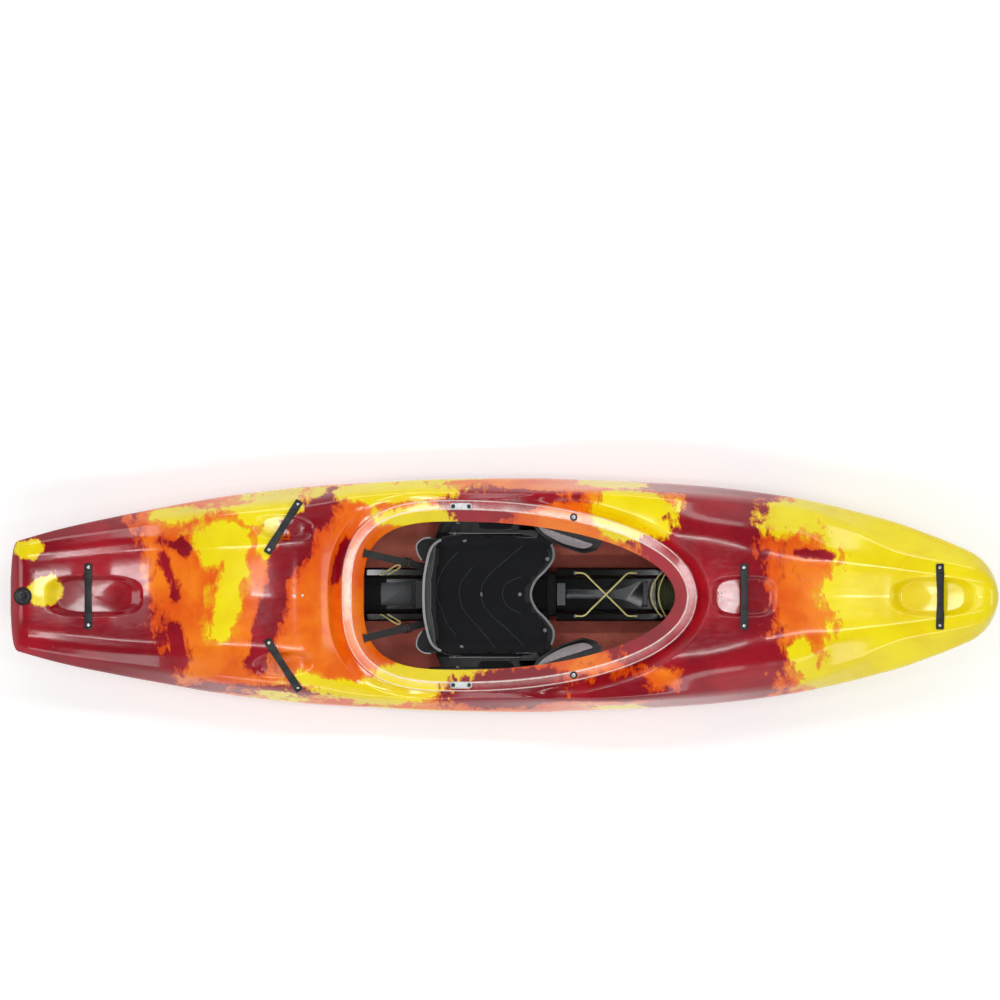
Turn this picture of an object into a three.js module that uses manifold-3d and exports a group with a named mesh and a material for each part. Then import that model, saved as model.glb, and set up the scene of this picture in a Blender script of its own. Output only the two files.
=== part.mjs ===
// A whitewater kayak: a rotomoulded shell with its cockpit coaming, grab handles, drain plug, seat,
// backband with ratchets, thigh braces, gear tray and sliding footrest.
// Millimetres. +X points to the bow, +Y to port and +Z up. The origin is on the ground under the
// middle of the hull's overall length.
import * as THREE from "three";
import { mergeVertices } from "three/addons/utils/BufferGeometryUtils.js";
import Module from "manifold-3d";

const wasm = await Module();
wasm.setup();

// Overall sizes of the hull
const LENGTH = 2700;
const BEAM = 648;
const HEIGHT = 434;
const WALL = 6;

// Clearances and cutters
const GAP = 0.3;
const RUN = 0.8;
const BITE = 1;
const HEAD_OVER = 2;
const OVERRUN = 30;
const MERGE = 0.001;
const SIMPLER = 0.2;

// The hull's lines. Each row is a station share, counted from the stern, and a share of the size
// that the line follows.
const KEEL_SHARES = [
  [0, 0.733], [0.04, 0.618], [0.1, 0.472], [0.16, 0.342], [0.22, 0.235], [0.28, 0.157],
  [0.34, 0.093], [0.4, 0.044], [0.45, 0.016], [0.485, 0], [0.627, 0], [0.66, 0.01],
  [0.7, 0.032], [0.75, 0.081], [0.8, 0.151], [0.85, 0.253], [0.9, 0.402], [0.94, 0.55],
  [0.97, 0.702], [1, 0.825],
];
const DECK_SHARES = [
  [0, 0.795], [0.018, 0.829], [0.035, 0.825], [0.06, 0.812], [0.11, 0.762], [0.14, 0.76], [0.18, 0.794],
  [0.22, 0.828], [0.255, 0.843], [0.285, 0.832], [0.31, 0.778], [0.335, 0.69], [0.36, 0.631],
  [0.4, 0.622], [0.45, 0.634], [0.505, 0.682], [0.56, 0.775], [0.62, 0.85], [0.68, 0.914],
  [0.705, 0.942], [0.73, 0.94], [0.77, 0.912], [0.81, 0.888], [0.85, 0.88], [0.885, 0.88],
  [0.92, 0.914], [0.95, 0.964], [0.975, 1], [1, 1.008],
];
const BEAM_SHARES = [
  [0, 0.45], [0.05, 0.571], [0.1, 0.666], [0.15, 0.75], [0.2, 0.827], [0.25, 0.885],
  [0.3, 0.928], [0.36, 0.957], [0.43, 0.988], [0.53, 1], [0.58, 0.986], [0.64, 0.966],
  [0.7, 0.935], [0.75, 0.892], [0.8, 0.831], [0.85, 0.747], [0.9, 0.637], [0.94, 0.511],
  [0.97, 0.42], [1, 0.41],
];

// The corners of a cross section from the bottom to the deck, as shares of the half beam and of the
// depth there. The bend share says how much of each neighbouring side a corner's round takes.
const CORNERS = [
  {
    name: "floor edge",
    bendShare: 0.34,
    widthShares: [[0, 0.45], [0.14, 0.42], [0.27, 0.5], [0.4, 0.58], [0.485, 0.6], [0.627, 0.58],
      [0.7, 0.46], [0.8, 0.4], [0.91, 0.32], [1, 0.3]],
    depthShares: [[0, 0.02], [0.14, 0.02], [0.27, 0.012], [0.4, 0.004], [0.485, 0], [0.627, 0],
      [0.7, 0.008], [0.8, 0.02], [1, 0.03]],
  },
  {
    name: "low chine",
    bendShare: 0.36,
    widthShares: [[0, 0.72], [0.14, 0.7], [0.27, 0.74], [0.36, 0.77], [0.62, 0.76], [0.7, 0.72],
      [0.8, 0.68], [0.91, 0.58], [1, 0.58]],
    depthShares: [[0, 0.1], [0.14, 0.085], [0.27, 0.09], [0.35, 0.155], [0.38, 0.143],
      [0.43, 0.1], [0.53, 0.08], [0.62, 0.075], [0.7, 0.09], [0.8, 0.11], [1, 0.11]],
  },
  {
    name: "high chine",
    bendShare: 0.2,
    widthShares: [[0, 0.9], [0.14, 0.9], [0.27, 0.92], [0.47, 0.926], [0.62, 0.925],
      [0.7, 0.915], [0.8, 0.88], [0.91, 0.82], [1, 0.82]],
    depthShares: [[0, 0.32], [0.14, 0.26], [0.27, 0.25], [0.34, 0.31], [0.42, 0.36],
      [0.485, 0.34], [0.545, 0.3], [0.61, 0.285], [0.77, 0.235], [0.86, 0.27], [0.91, 0.3],
      [1, 0.24]],
  },
  {
    name: "gunwale",
    bendShare: 0.3,
    widthShares: [[0, 1.017], [1, 1.017]],
    depthShares: [[0, 0.56], [0.06, 0.57], [0.1, 0.51], [0.14, 0.46], [0.18, 0.41], [0.22, 0.4],
      [0.28, 0.44], [0.35, 0.62], [0.4, 0.675], [0.45, 0.68], [0.505, 0.64], [0.56, 0.567],
      [0.62, 0.527], [0.7, 0.515], [0.77, 0.55], [0.83, 0.535], [0.87, 0.555], [0.91, 0.6],
      [0.95, 0.53], [1, 0.36]],
  },
  {
    name: "shoulder",
    bendShare: 0.24,
    widthShares: [[0, 0.88], [0.14, 0.85], [0.22, 0.86], [0.3, 0.87], [0.36, 0.91],
      [0.42, 0.915], [0.47, 0.895], [0.53, 0.885], [0.62, 0.91], [0.7, 0.9], [0.8, 0.9],
      [0.856, 0.78], [0.91, 0.58], [0.95, 0.62], [1, 0.7]],
    depthShares: [[0, 0.8], [0.14, 0.8], [0.22, 0.83], [0.28, 0.84], [0.36, 0.93],
      [0.47, 0.94], [0.58, 0.965], [0.62, 0.95], [0.66, 0.9], [0.7, 0.83], [0.8, 0.76],
      [0.856, 0.83], [0.91, 0.92], [1, 0.85]],
  },
  {
    name: "mid deck",
    bendShare: 0.28,
    widthShares: [[0, 0.72], [0.14, 0.66], [0.22, 0.62], [0.3, 0.64], [0.36, 0.8], [0.58, 0.8],
      [0.62, 0.74], [0.7, 0.7], [0.8, 0.66], [0.84, 0.5], [0.91, 0.45], [1, 0.5]],
    depthShares: [[0, 0.92], [0.14, 0.94], [0.22, 0.93], [0.28, 0.94], [0.36, 0.985],
      [0.58, 0.99], [0.62, 0.985], [0.7, 0.93], [0.8, 0.915], [0.84, 0.96], [1, 0.95]],
  },
  {
    name: "deck ridge",
    bendShare: 0.3,
    widthShares: [[0, 0.5], [0.14, 0.5], [0.22, 0.48], [0.3, 0.46], [0.36, 0.5], [0.6, 0.5],
      [0.66, 0.52], [0.7, 0.53], [0.76, 0.44], [0.83, 0.355], [0.93, 0.35], [1, 0.33]],
    depthShares: [[0, 0.985], [0.14, 0.99], [0.28, 0.985], [0.36, 1], [0.6, 1], [0.66, 0.99],
      [0.7, 0.975], [0.76, 0.98], [0.83, 0.99], [1, 0.99]],
  },
];

// How the two ends close: over a depth along the hull, by a superellipse, about a tip height
const STERN_END = { plan: 22, planPower: 2.8, side: 34, sidePower: 2.2, tip: 330 };
const BOW_END = { plan: 120, planPower: 2, side: 42, sidePower: 2, tip: 402 };
const TIP_FLAT = 0.5;
const CAVITY_STERN = 30;
const CAVITY_BOW = 24;

// Fineness of the lofted shell
const STATION_SHARES = [
  0.05, 0.09, 0.13, 0.17, 0.21, 0.25, 0.28, 0.303, 0.322, 0.34, 0.36, 0.385, 0.42, 0.455, 0.485,
  0.52, 0.56, 0.6, 0.627, 0.66, 0.69, 0.72, 0.75, 0.78, 0.81, 0.84, 0.87, 0.9, 0.925, 0.95,
];
const END_SHARES = [0, 0.02, 0.09, 0.25, 0.56];
const STERN_REACH_SHARE = 0.45;
const OUTER_ARC = 3;
const INNER_ARC = 2;

// Cockpit opening and its coaming. Widths are counted outwards from the opening's edge, heights
// from the rim.
const COCKPIT_X = -125;
const OPENING_FRONT = 593;
const OPENING_REAR = 259;
const OPENING_HALF = 203;
const REAR_POWER = 3.1;
const RIM_SHARES = [
  [0.336, 0.69], [0.36, 0.668], [0.38, 0.648], [0.4, 0.641], [0.455, 0.672], [0.505, 0.717],
  [0.545, 0.758], [0.586, 0.8], [0.627, 0.843], [0.66, 0.885], [0.68, 0.915], [0.7, 0.937],
];
const COAMING_WIDTH = 60;
const BAND_WIDTH = 34;
const BAND_DROP = 26;
const FLANGE = 7;
const LIP_EDGE = 9;
const LIP_ROUND = 3;
const GROOVE = 1.5;
const STEM_AT = 50;
const STEM = 5.5;
const MOAT_DEPTH = 22;
const MOAT_FLOOR = 64;
const MOAT_RING = 83;
const MOAT_RISE = 3;
const COAMING_STEPS = 48;
const COCKPIT_CUT = 200;

// Hollows in the deck that leave room for fingers under the handles
const SCOOPS = [
  { name: "stern hollow", x: LENGTH * -0.4156, y: 0, halfLength: 136, halfWidth: 59, power: 3.2,
    turn: 0, depth: 24, floorShare: 0.72, rise: 0.09 },
  { name: "bow hollow", x: LENGTH * 0.4341, y: 0, halfLength: 118, halfWidth: 56, power: 3, turn: 0,
    depth: 26, floorShare: 0.7, rise: 0.02 },
  { name: "front hollow", x: LENGTH * 0.243, y: 0, halfLength: 92, halfWidth: 58, power: 3.4, turn: 0,
    depth: 15, floorShare: 0.78, rise: 0 },
  { name: "port hollow", x: LENGTH * -0.2233, y: BEAM * 0.293, halfLength: 88, halfWidth: 40,
    power: 2.4, turn: -0.12, depth: 16, floorShare: 0.6, rise: 0 },
  { name: "starboard hollow", x: LENGTH * -0.2233, y: BEAM * -0.293, halfLength: 88, halfWidth: 40,
    power: 2.4, turn: 0.12, depth: 16, floorShare: 0.6, rise: 0 },
];

// Grab handles: a moulded strap held by a bolt at each foot
const HANDLE_SPACING = BEAM * 0.2438;
const HANDLE_WIDTH = 22;
const HANDLE_THICKNESS = 7;
const STERN_HANDLE_RISE = 12;
const BOW_HANDLE_RISE = 9.6;
const FRONT_HANDLE_RISE = 5.8;
const SIDE_HANDLE_RISE = 8.6;
const HANDLE_SINK = 2;
const STERN_HANDLE_X = LENGTH * -0.4207;
const BOW_HANDLE_X = LENGTH * 0.4407;
const FRONT_HANDLE_X = LENGTH * 0.2433;
const SIDE_HANDLE_INNER = [LENGTH * -0.2374, BEAM * 0.196];
const SIDE_HANDLE_OUTER = [LENGTH * -0.2089, BEAM * 0.3889];
const BOLT_HEAD = 6;
const BOLT_DOME = 2.8;
const BOLT_SHANK = 2.6;
const BOLT_SIDES = 8;

// Plates on the coaming that hold the seat's hangers, with their two studs and nuts
const ANCHOR_X = -116;
const ANCHOR_OUT = 42.5;
const ANCHOR_LENGTH = 62;
const ANCHOR_WIDTH = 19;
const ANCHOR_THICKNESS = 3;
const STUD_SPACING = 44;
const STUD_RADIUS = 2.5;
const NUT_RADIUS = 4.5;
const NUT_HEIGHT = 4;
const SLACK = 0.5;

// Bolts that hold the thigh braces, each on a plastic washer
const BRACE_BOLT_X = 184;
const BRACE_BOLT_OUT = 44;
const WASHER_RADIUS = 10.5;
const WASHER_THICKNESS = 2;

// Drain plug at the stern: a boss on the hull, a threaded ring, a gasket and the plug
const DRAIN_FROM_STERN = 36;
const DRAIN_X = DRAIN_FROM_STERN - LENGTH / 2;
const DRAIN_BOSS = 26;
const DRAIN_BORE = 14;
const DRAIN_TOP = HEIGHT * 0.8249;
const DRAIN_FLANGE = 24.5;
const DRAIN_FLANGE_THICKNESS = 2.5;
const DRAIN_NECK = 12;
const DRAIN_THREAD = 10;
const GASKET_OUTER = 21.5;
const GASKET_THICKNESS = 2;
const PLUG_RADIUS = 19.5;
const PLUG_HEIGHT = 9;
const PLUG_LOBES = 8;
const PLUG_LOBE_DEPTH = 1.6;
const PLUG_STEM = 12;
const ROUND_SIDES = 24;

// Gear trays along the middle of the floor, in front of the seat and behind it
const TRAY_HALF = 74;
const TRAY_TOP = 112;
const TRAY_ROUND = 5;
const TRAY_WALL = 4;
const TRAY_FLOOR = 34;
const TROUGH_HALF = 49;
const TROUGH_TAPER = 7;
const FRONT_TRAY = [148, LENGTH * 0.2296];
const REAR_TRAY = [-425, -226];
const SEAT_TRACK = [-230, 128];
const TRACK_TOP = 48;
const TRACK_FLOOR = 22;
const CROSS_BLOCK = { x: [150, 174], half: 33, top: 62 };
const RIB = {
  x: [174, LENGTH * 0.15],
  half: 10,
  flareX: [LENGTH * 0.1352, LENGTH * 0.1444],
  flareHalf: 36,
  height: 7,
};

// Bottle in its sleeve, lying in the front tray
const BOTTLE_REAR = LENGTH * 0.1596;
const BOTTLE_LENGTH = 150;
const BOTTLE_RADIUS = 44.8;
const BOTTLE_ROUND = 12;
const BOTTLE_SIDES = 24;

// Bungee cords over the front tray, and the loops beside the rear tray
const BUNGEE_RADIUS = 2.2;
const BUNGEE_SIDES = 8;
const CROSS_X = [208, LENGTH * 0.1348];
const CROSS_BEND = 16;
const RIDGE_Y = 60;
const LOOPS = [
  { name: "rear_bottle_loop", ends: LENGTH * 0.163, bulge: 28, rise: 8 },
  { name: "front_bottle_loop", ends: LENGTH * 0.1678, bulge: 21, rise: 17 },
];
const REAR_CORD_RADIUS = 1.8;
const REAR_CORD_PATH = [
  [-343, 54, 0], [-330, 61, 0], [-314, 71, 0], [-299, 80, 0], [-293, 84, 0], [-288, 82, 0],
  [-290, 76, 0], [-302, 67, 0], [-323, 54, 0],
];

// Seat pan and its side brackets
const SEAT_REAR = -200;
const SEAT_FRONT = 142;
const SEAT_HALF = 201;
const SEAT_NOTCH = 70;
const SEAT_NOTCH_SHARES = [
  [0, 0], [0.16, 0.19], [0.32, 0.64], [0.48, 1], [0.63, 0.94], [0.88, 0.8], [1, 0.5],
];
const SEAT_LOW = 62;
const SEAT_LIFT = 36;
const SEAT_LIFT_SHARES = [[0, 0.95], [0.15, 0.34], [0.35, 0], [0.6, 0.1], [0.8, 0.5], [1, 1]];
const SEAT_SIDE_RISE = 60;
const SEAT_SIDE_FROM_SHARE = 0.62;
const SEAT_SHELL = 5;
const SEAT_GRID = [
  [0, 0.035, 0.12, 0.21, 0.31, 0.42, 0.54, 0.65, 0.75, 0.85, 0.965, 1],
  [0, 0.07, 0.12, 0.18, 0.26, 0.37, 0.5, 0.63, 0.74, 0.82, 0.88, 0.93, 1],
];
const SEAT_TRAVEL = 20;
const BRACKET_THICKNESS = 5;
const BRACKET_OUTLINE = [
  [-204, 112], [98, 112], [98, 158], [60, 190], [20, 212], [-190, 212], [-204, 196],
];
const HANGER_WIDTH = 78;
const HANGER_THICKNESS = 3;
const HANGER_PATH = [
  [4.5, -8.9], [-6.5, -8.9], [-8.5, -11.5], [-9.5, -34],
];
const HANGER_TAIL = [-60, -66, -160];
const HANGER_BEND = 2.6;
const SEAT_BOLT_X = -125;
const SEAT_BOLT_Z = 168;
const RUNNER_X = [-120, 40];
const SHELF_X = [-243, -195];
const SHELF_HALF = 38;
const SHELF_THICKNESS = 6;
const RATCHET_TAB_X = [42, 105];
const RATCHET_TAB_INSET = 21;
const RATCHET_TAB_THICKNESS = 4;
const RATCHET_TAB_OUTER = SEAT_HALF - RATCHET_TAB_INSET;
const RATCHET_TAB_Y = [RATCHET_TAB_OUTER - RATCHET_TAB_THICKNESS, RATCHET_TAB_OUTER];
const RATCHET_TAB_TOP = 228;

// Foam on the seat
const PAD_THICKNESS = 12;
const PAD_EDGE = 4;
const HIP_PAD_X = [-76, 36];
const HIP_PAD_Z = [142, 209];
const HIP_PAD_THICKNESS = 24;

// Backband: a curved plate with wings, its pad, straps and ratchets
const BACKBAND_X = -222;
const BACKBAND_INSET = 34;
const BACKBAND_HALF = SEAT_HALF - BACKBAND_INSET;
const BACKBAND_WRAP = 107;
const BACKBAND_SHELL = 4;
const BACKBAND_PLAN_SHARES = [
  [0, 0], [0.42, 0.045], [0.83, 0.24], [0.966, 0.58], [1, 1],
];
const BACKBAND_TOP = 306;
const BACKBAND_TOP_DROP = 84;
const BACKBAND_TOP_SHARES = [[0, 0], [0.3, 0.07], [0.55, 0.42], [0.75, 0.93], [1, 1]];
const BACKBAND_LOW = 128;
const BACKBAND_LOW_RISE = 70;
const BACKBAND_LOW_SHARES = [[0, 0], [0.3, 0.05], [0.55, 0.4], [0.75, 0.9], [1, 1]];
const BACKBAND_STEPS = 26;
const BACK_PAD_THICKNESS = 22;
const BACK_PAD_EDGE = 5;
const BACK_PAD_SPAN_SHARE = 0.7;
const BACK_PAD_MARGIN = 6;
const FOOT_HALF = 30;
const FOOT_LENGTH = 16;
const FOOT_ROUND = 1;
const STRAP_WIDTH = 20;
const STRAP_THICKNESS = 3;
const STRAP_X = [-150, 118];
const STRAP_INSET = 29.8;
const STRAP_Y = SEAT_HALF - STRAP_INSET;
const STRAP_Z = 210;

// Ratchets at the front of the seat's side brackets
const RATCHET_X = [50, 97];
const RATCHET_WIDTH = 28;
const RATCHET_WALL = 2.2;
const RATCHET_DEPTH = 18;
const PIN_X = 89;
const PIN_INSET = 39;
const PIN_Y = SEAT_HALF - PIN_INSET;
const PIN_RADIUS = 2;
const PIN_CLEARANCE = 0.1;
const PIN_SIDES = 12;
const LEVER_LENGTH = 58;
const LEVER_THICKNESS = 4.5;
const LEVER_INSET = 1;
const LEVER_BARREL = 4.4;

// Webbing from slots in the coaming to the buckles on the backband
const WEBBING_WIDTH = 20;
const WEBBING_THICKNESS = 1.6;
const WEBBING_SLOT_Y = 112;
const WEBBING_SLOT_OUT = 14;
const WEBBING_SLOT = [27, 6];
const BUCKLE_LENGTH = 26;
const BUCKLE_WIDTH = 27;
const BUCKLE_THICKNESS = 5;
const BUCKLE_BAR = 4;
const BUCKLE_SHARE = 0.66;
const BUCKLE_TAIL_SHARE = 0.06;
const WEBBING_END = [-214, 78, 204];

// Thigh braces under the front of the coaming, each with its foam
const BRACE_X = [84, 272];
const BRACE_REACH = 46;
const BRACE_EDGE = 4.5;
const BRACE_SHELL = 5;
const BRACE_CLEAR = 5;
const BRACE_HOOK = 40;
const BRACE_GRID = [
  [0, 0.1, 0.2, 0.3, 0.4, 0.5, 0.6, 0.7, 0.8, 0.88, 0.95, 1],
  [0, 0.12, 0.26, 0.42, 0.5, 0.58, 0.68, 0.8, 0.92, 1],
];
const BRACE_PLAN_SHARES = [[0, 0.05], [0.2, 0.55], [0.5, 0.92], [0.75, 1], [0.92, 0.7], [1, 0.3]];
const THIGH_PAD_THICKNESS = 14;
const BRACE_TRAVEL = 20;
const BRACE_NUT_ROOM = 1;

// Footrest: two rails bolted through the hull's sides, and the plate that slides on them
const RAIL_FOOT = [LENGTH * 0.1637, LENGTH * 0.1859];
const RAIL_RUN = [LENGTH * 0.2193, LENGTH * 0.3037];
const RAIL_Y = BEAM * 0.3318;
const RAIL_Z = 164;
const RAIL_HEIGHT = 25;
const RAIL_THICKNESS = 4;
const RAIL_BOLT_X = [LENGTH * 0.1696, LENGTH * 0.1837];
const RAIL_NUT_ROOM = 7;
const SLOPE_STEP = 4;
const FOOTREST_X = LENGTH * 0.2667;
const FOOTREST_THICKNESS = 8;
const FOOTREST_HALF = BEAM * 0.3148;
const FOOTREST_BOTTOM = 86;
const FOOTREST_TOP = 276;
const FOOTREST_OUTLINE_SHARES = [
  [0, 0], [0.42, 0], [0.72, 0.12], [1, 0.33], [1, 0.66], [0.92, 0.86], [0.6, 0.97], [0, 1],
];
const FOOT_PAD_THICKNESS = 15;
const FOOT_PAD_SHARE = 0.88;
const CARRIAGE_LENGTH = 60;
const CARRIAGE_WALL = 5;

// Foam walls that hold the deck up, fore and aft
const PILLAR_THICKNESS = 60;
const BOW_PILLAR = [LENGTH * 0.3185, LENGTH * 0.4481];
const PILLAR_BEHIND_COCKPIT = 86;
const STERN_PILLAR = [LENGTH * -0.4, COCKPIT_X - OPENING_REAR - PILLAR_BEHIND_COCKPIT];

const ACROSS = new THREE.Vector3(0, 1, 0);
const UP = new THREE.Vector3(0, 0, 1);

const clamp = THREE.MathUtils.clamp;
const lerp = THREE.MathUtils.lerp;
const smooth = (share) => THREE.MathUtils.smoothstep(share, 0, 1);

// A smooth curve through rows of [place, value] that never runs past its rows: a cubic between
// neighbours, with slopes from the harmonic mean of the two sides.
function curveThrough(rows) {
  const slopes = rows.slice(1).map(([x, y], i) => (y - rows[i][1]) / (x - rows[i][0]));
  const tangents = rows.map((row, i) => {
    const before = slopes[Math.max(i - 1, 0)];
    const after = slopes[Math.min(i, slopes.length - 1)];
    return before * after <= 0 ? 0 : (2 * before * after) / (before + after);
  });
  return (place) => {
    const x = clamp(place, rows[0][0], rows[rows.length - 1][0]);
    let i = rows.findIndex((row) => row[0] >= x) - 1;
    i = clamp(i, 0, rows.length - 2);
    const span = rows[i + 1][0] - rows[i][0];
    const t = (x - rows[i][0]) / span;
    const bend = t * t * (3 - 2 * t);
    const leave = (t ** 3 - 2 * t * t + t) * span * tangents[i];
    const arrive = (t ** 3 - t * t) * span * tangents[i + 1];
    return lerp(rows[i][1], rows[i + 1][1], bend) + leave + arrive;
  };
}

// Numbers from one end to the other, evenly spread, both ends included.
function spread(from, to, steps) {
  return Array.from({ length: steps + 1 }, (_, i) => lerp(from, to, i / steps));
}

// A closed solid from any closed three.js geometry, turned right side out if need be.
function solidOf(geometry) {
  const bare = new THREE.BufferGeometry();
  const loose = geometry.index ? geometry.toNonIndexed() : geometry;
  bare.setAttribute("position", loose.getAttribute("position"));
  const merged = mergeVertices(bare, MERGE);
  const points = merged.getAttribute("position");
  const triangles = new Uint32Array(merged.index.array);
  const corner = [new THREE.Vector3(), new THREE.Vector3(), new THREE.Vector3()];
  let volume = 0;
  for (let i = 0; i < triangles.length; i += 3) {
    corner.forEach((c, j) => c.fromBufferAttribute(points, triangles[i + j]));
    volume += corner[0].dot(corner[1].clone().cross(corner[2]));
  }
  if (volume < 0)
    for (let i = 0; i < triangles.length; i += 3)
      [triangles[i + 1], triangles[i + 2]] = [triangles[i + 2], triangles[i + 1]];
  return new wasm.Manifold(
    new wasm.Mesh({ numProp: 3, vertProperties: points.array, triVerts: triangles }),
  );
}

function geometryOf(solid) {
  const mesh = solid.getMesh();
  const geometry = new THREE.BufferGeometry();
  const points = new Float32Array(mesh.numVert * 3);
  for (let i = 0; i < mesh.numVert; i += 1)
    points.set(mesh.vertProperties.subarray(i * mesh.numProp, i * mesh.numProp + 3), i * 3);
  geometry.setAttribute("position", new THREE.BufferAttribute(points, 3));
  geometry.setIndex(new THREE.BufferAttribute(mesh.triVerts, 1));
  return geometry;
}

// The triangles that close a flat ring, as index triples in the ring's own order.
function capOf(ring) {
  const normal = new THREE.Vector3();
  ring.forEach((p, i) => normal.add(p.clone().cross(ring[(i + 1) % ring.length])));
  normal.normalize();
  const reference = Math.abs(normal.z) < 0.9 ? UP : ACROSS;
  const u = reference.clone().cross(normal).normalize();
  const v = normal.clone().cross(u);
  const flat = ring.map((p) => new THREE.Vector2(p.dot(u), p.dot(v)));
  return THREE.ShapeUtils.triangulateShape(flat, []).map(([a, b, c]) => {
    const ab = flat[b].clone().sub(flat[a]);
    const ac = flat[c].clone().sub(flat[a]);
    return ab.cross(ac) > 0 ? [a, b, c] : [a, c, b];
  });
}

const evenGrid = (columns, rows) => [spread(0, 1, columns), spread(0, 1, rows)];

// A closed solid through rings of points, with flat caps, or joined end to start.
function loft(rings, endless = false) {
  const size = rings[0].length;
  const points = rings.flat();
  const faces = [];
  const joints = endless ? rings.length : rings.length - 1;
  for (let i = 0; i < joints; i += 1) {
    const here = i * size;
    const there = ((i + 1) % rings.length) * size;
    for (let j = 0; j < size; j += 1) {
      const k = (j + 1) % size;
      faces.push(here + j, here + k, there + k, here + j, there + k, there + j);
    }
  }
  if (!endless) {
    const last = (rings.length - 1) * size;
    for (const [a, b, c] of capOf(rings[0])) faces.push(a, c, b);
    for (const [a, b, c] of capOf(rings[rings.length - 1])) faces.push(last + a, last + b, last + c);
  }
  const geometry = new THREE.BufferGeometry().setFromPoints(points);
  geometry.setIndex(faces);
  return solidOf(geometry);
}

// A closed slab over a grid of places: its top and bottom points come from two functions of the
// grid's shares u and v.
function slab([us, vs], top, bottom) {
  const columns = us.length - 1;
  const rows = vs.length - 1;
  const points = [top, bottom].flatMap((surface) =>
    us.flatMap((u) => vs.map((v) => surface(u, v))),
  );
  const width = rows + 1;
  const layer = (columns + 1) * width;
  const faces = [];
  const quad = (a, b, c, d) => faces.push(a, b, c, a, c, d);
  for (let i = 0; i < columns; i += 1)
    for (let j = 0; j < rows; j += 1) {
      const a = i * width + j;
      quad(a, a + width, a + width + 1, a + 1);
      quad(layer + a, layer + a + 1, layer + a + width + 1, layer + a + width);
    }
  for (let i = 0; i < columns; i += 1) {
    const a = i * width;
    const b = a + rows;
    quad(a, layer + a, layer + a + width, a + width);
    quad(b, b + width, layer + b + width, layer + b);
  }
  for (let j = 0; j < rows; j += 1) {
    const a = j;
    const b = columns * width + j;
    quad(a, a + 1, layer + a + 1, layer + a);
    quad(b, layer + b, layer + b + 1, b + 1);
  }
  const geometry = new THREE.BufferGeometry().setFromPoints(points);
  geometry.setIndex(faces);
  return solidOf(geometry);
}

// A box from its lowest to its highest corner.
function block([x0, x1], [y0, y1], [z0, z1]) {
  const box = new THREE.BoxGeometry(x1 - x0, Math.abs(y1 - y0), z1 - z0);
  return solidOf(box.translate((x0 + x1) / 2, (y0 + y1) / 2, (z0 + z1) / 2));
}

// A flat outline of [x, y] points, pushed up by its height and then placed by a matrix.
function pushed(outline, height, matrix = new THREE.Matrix4()) {
  const shape = new THREE.Shape(outline.map(([x, y]) => new THREE.Vector2(x, y)));
  const geometry = new THREE.ExtrudeGeometry(shape, { depth: height, bevelEnabled: false });
  return solidOf(geometry.applyMatrix4(matrix));
}

// A turned solid: [radius, height] points about an axis that passes through a place.
function turned(profile, sides, place, axis = UP) {
  const geometry = new THREE.LatheGeometry(
    profile.map(([r, h]) => new THREE.Vector2(r, h)),
    sides,
  );
  const turn = new THREE.Quaternion().setFromUnitVectors(ACROSS, axis.clone().normalize());
  return solidOf(geometry.applyQuaternion(turn).translate(place.x, place.y, place.z));
}

// A round bar through a curve's points.
function tube(curve, steps, radius, sides) {
  const frames = curve.computeFrenetFrames(steps, false);
  const rings = spread(0, 1, steps).map((share, i) => {
    const centre = curve.getPointAt(share);
    return spread(0, 2 * Math.PI, sides)
      .slice(0, sides)
      .map((angle) =>
        centre
          .clone()
          .addScaledVector(frames.normals[i], radius * Math.cos(angle))
          .addScaledVector(frames.binormals[i], radius * Math.sin(angle)),
      );
  });
  return loft(rings);
}

// A flat strap along points: its width lies across the path along a level direction, and may
// change from point to point.
function strap(path, across, widthAt, thickness) {
  const rings = path.map((point, i) => {
    const tangent = path[Math.min(i + 1, path.length - 1)]
      .clone()
      .sub(path[Math.max(i - 1, 0)])
      .normalize();
    const side = across.clone().addScaledVector(tangent, -across.dot(tangent)).normalize();
    const over = tangent.clone().cross(side);
    const half = widthAt(i / (path.length - 1)) / 2;
    const corner = (s, t) =>
      point.clone().addScaledVector(side, s * half).addScaledVector(over, (t * thickness) / 2);
    return [corner(-1, -1), corner(1, -1), corner(1, 1), corner(-1, 1)];
  });
  return loft(rings);
}

const keelAt = curveThrough(KEEL_SHARES);
const deckAt = curveThrough(DECK_SHARES);
const beamAt = curveThrough(BEAM_SHARES);
const rimAt = curveThrough(RIM_SHARES);
const cornerCurves = CORNERS.map((corner) => ({
  bend: corner.bendShare,
  width: curveThrough(corner.widthShares),
  depth: curveThrough(corner.depthShares),
}));

const stationOf = (x) => x / LENGTH + 0.5;
const rimHeight = (x) => HEIGHT * rimAt(stationOf(x));

// How much of the full size is left at a distance from an end that closes as a superellipse.
function endShare(distance, reach, power) {
  const away = 1 - clamp(Math.max(distance, TIP_FLAT) / reach, 0, 1);
  return (1 - away ** power) ** (1 / power);
}

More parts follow.
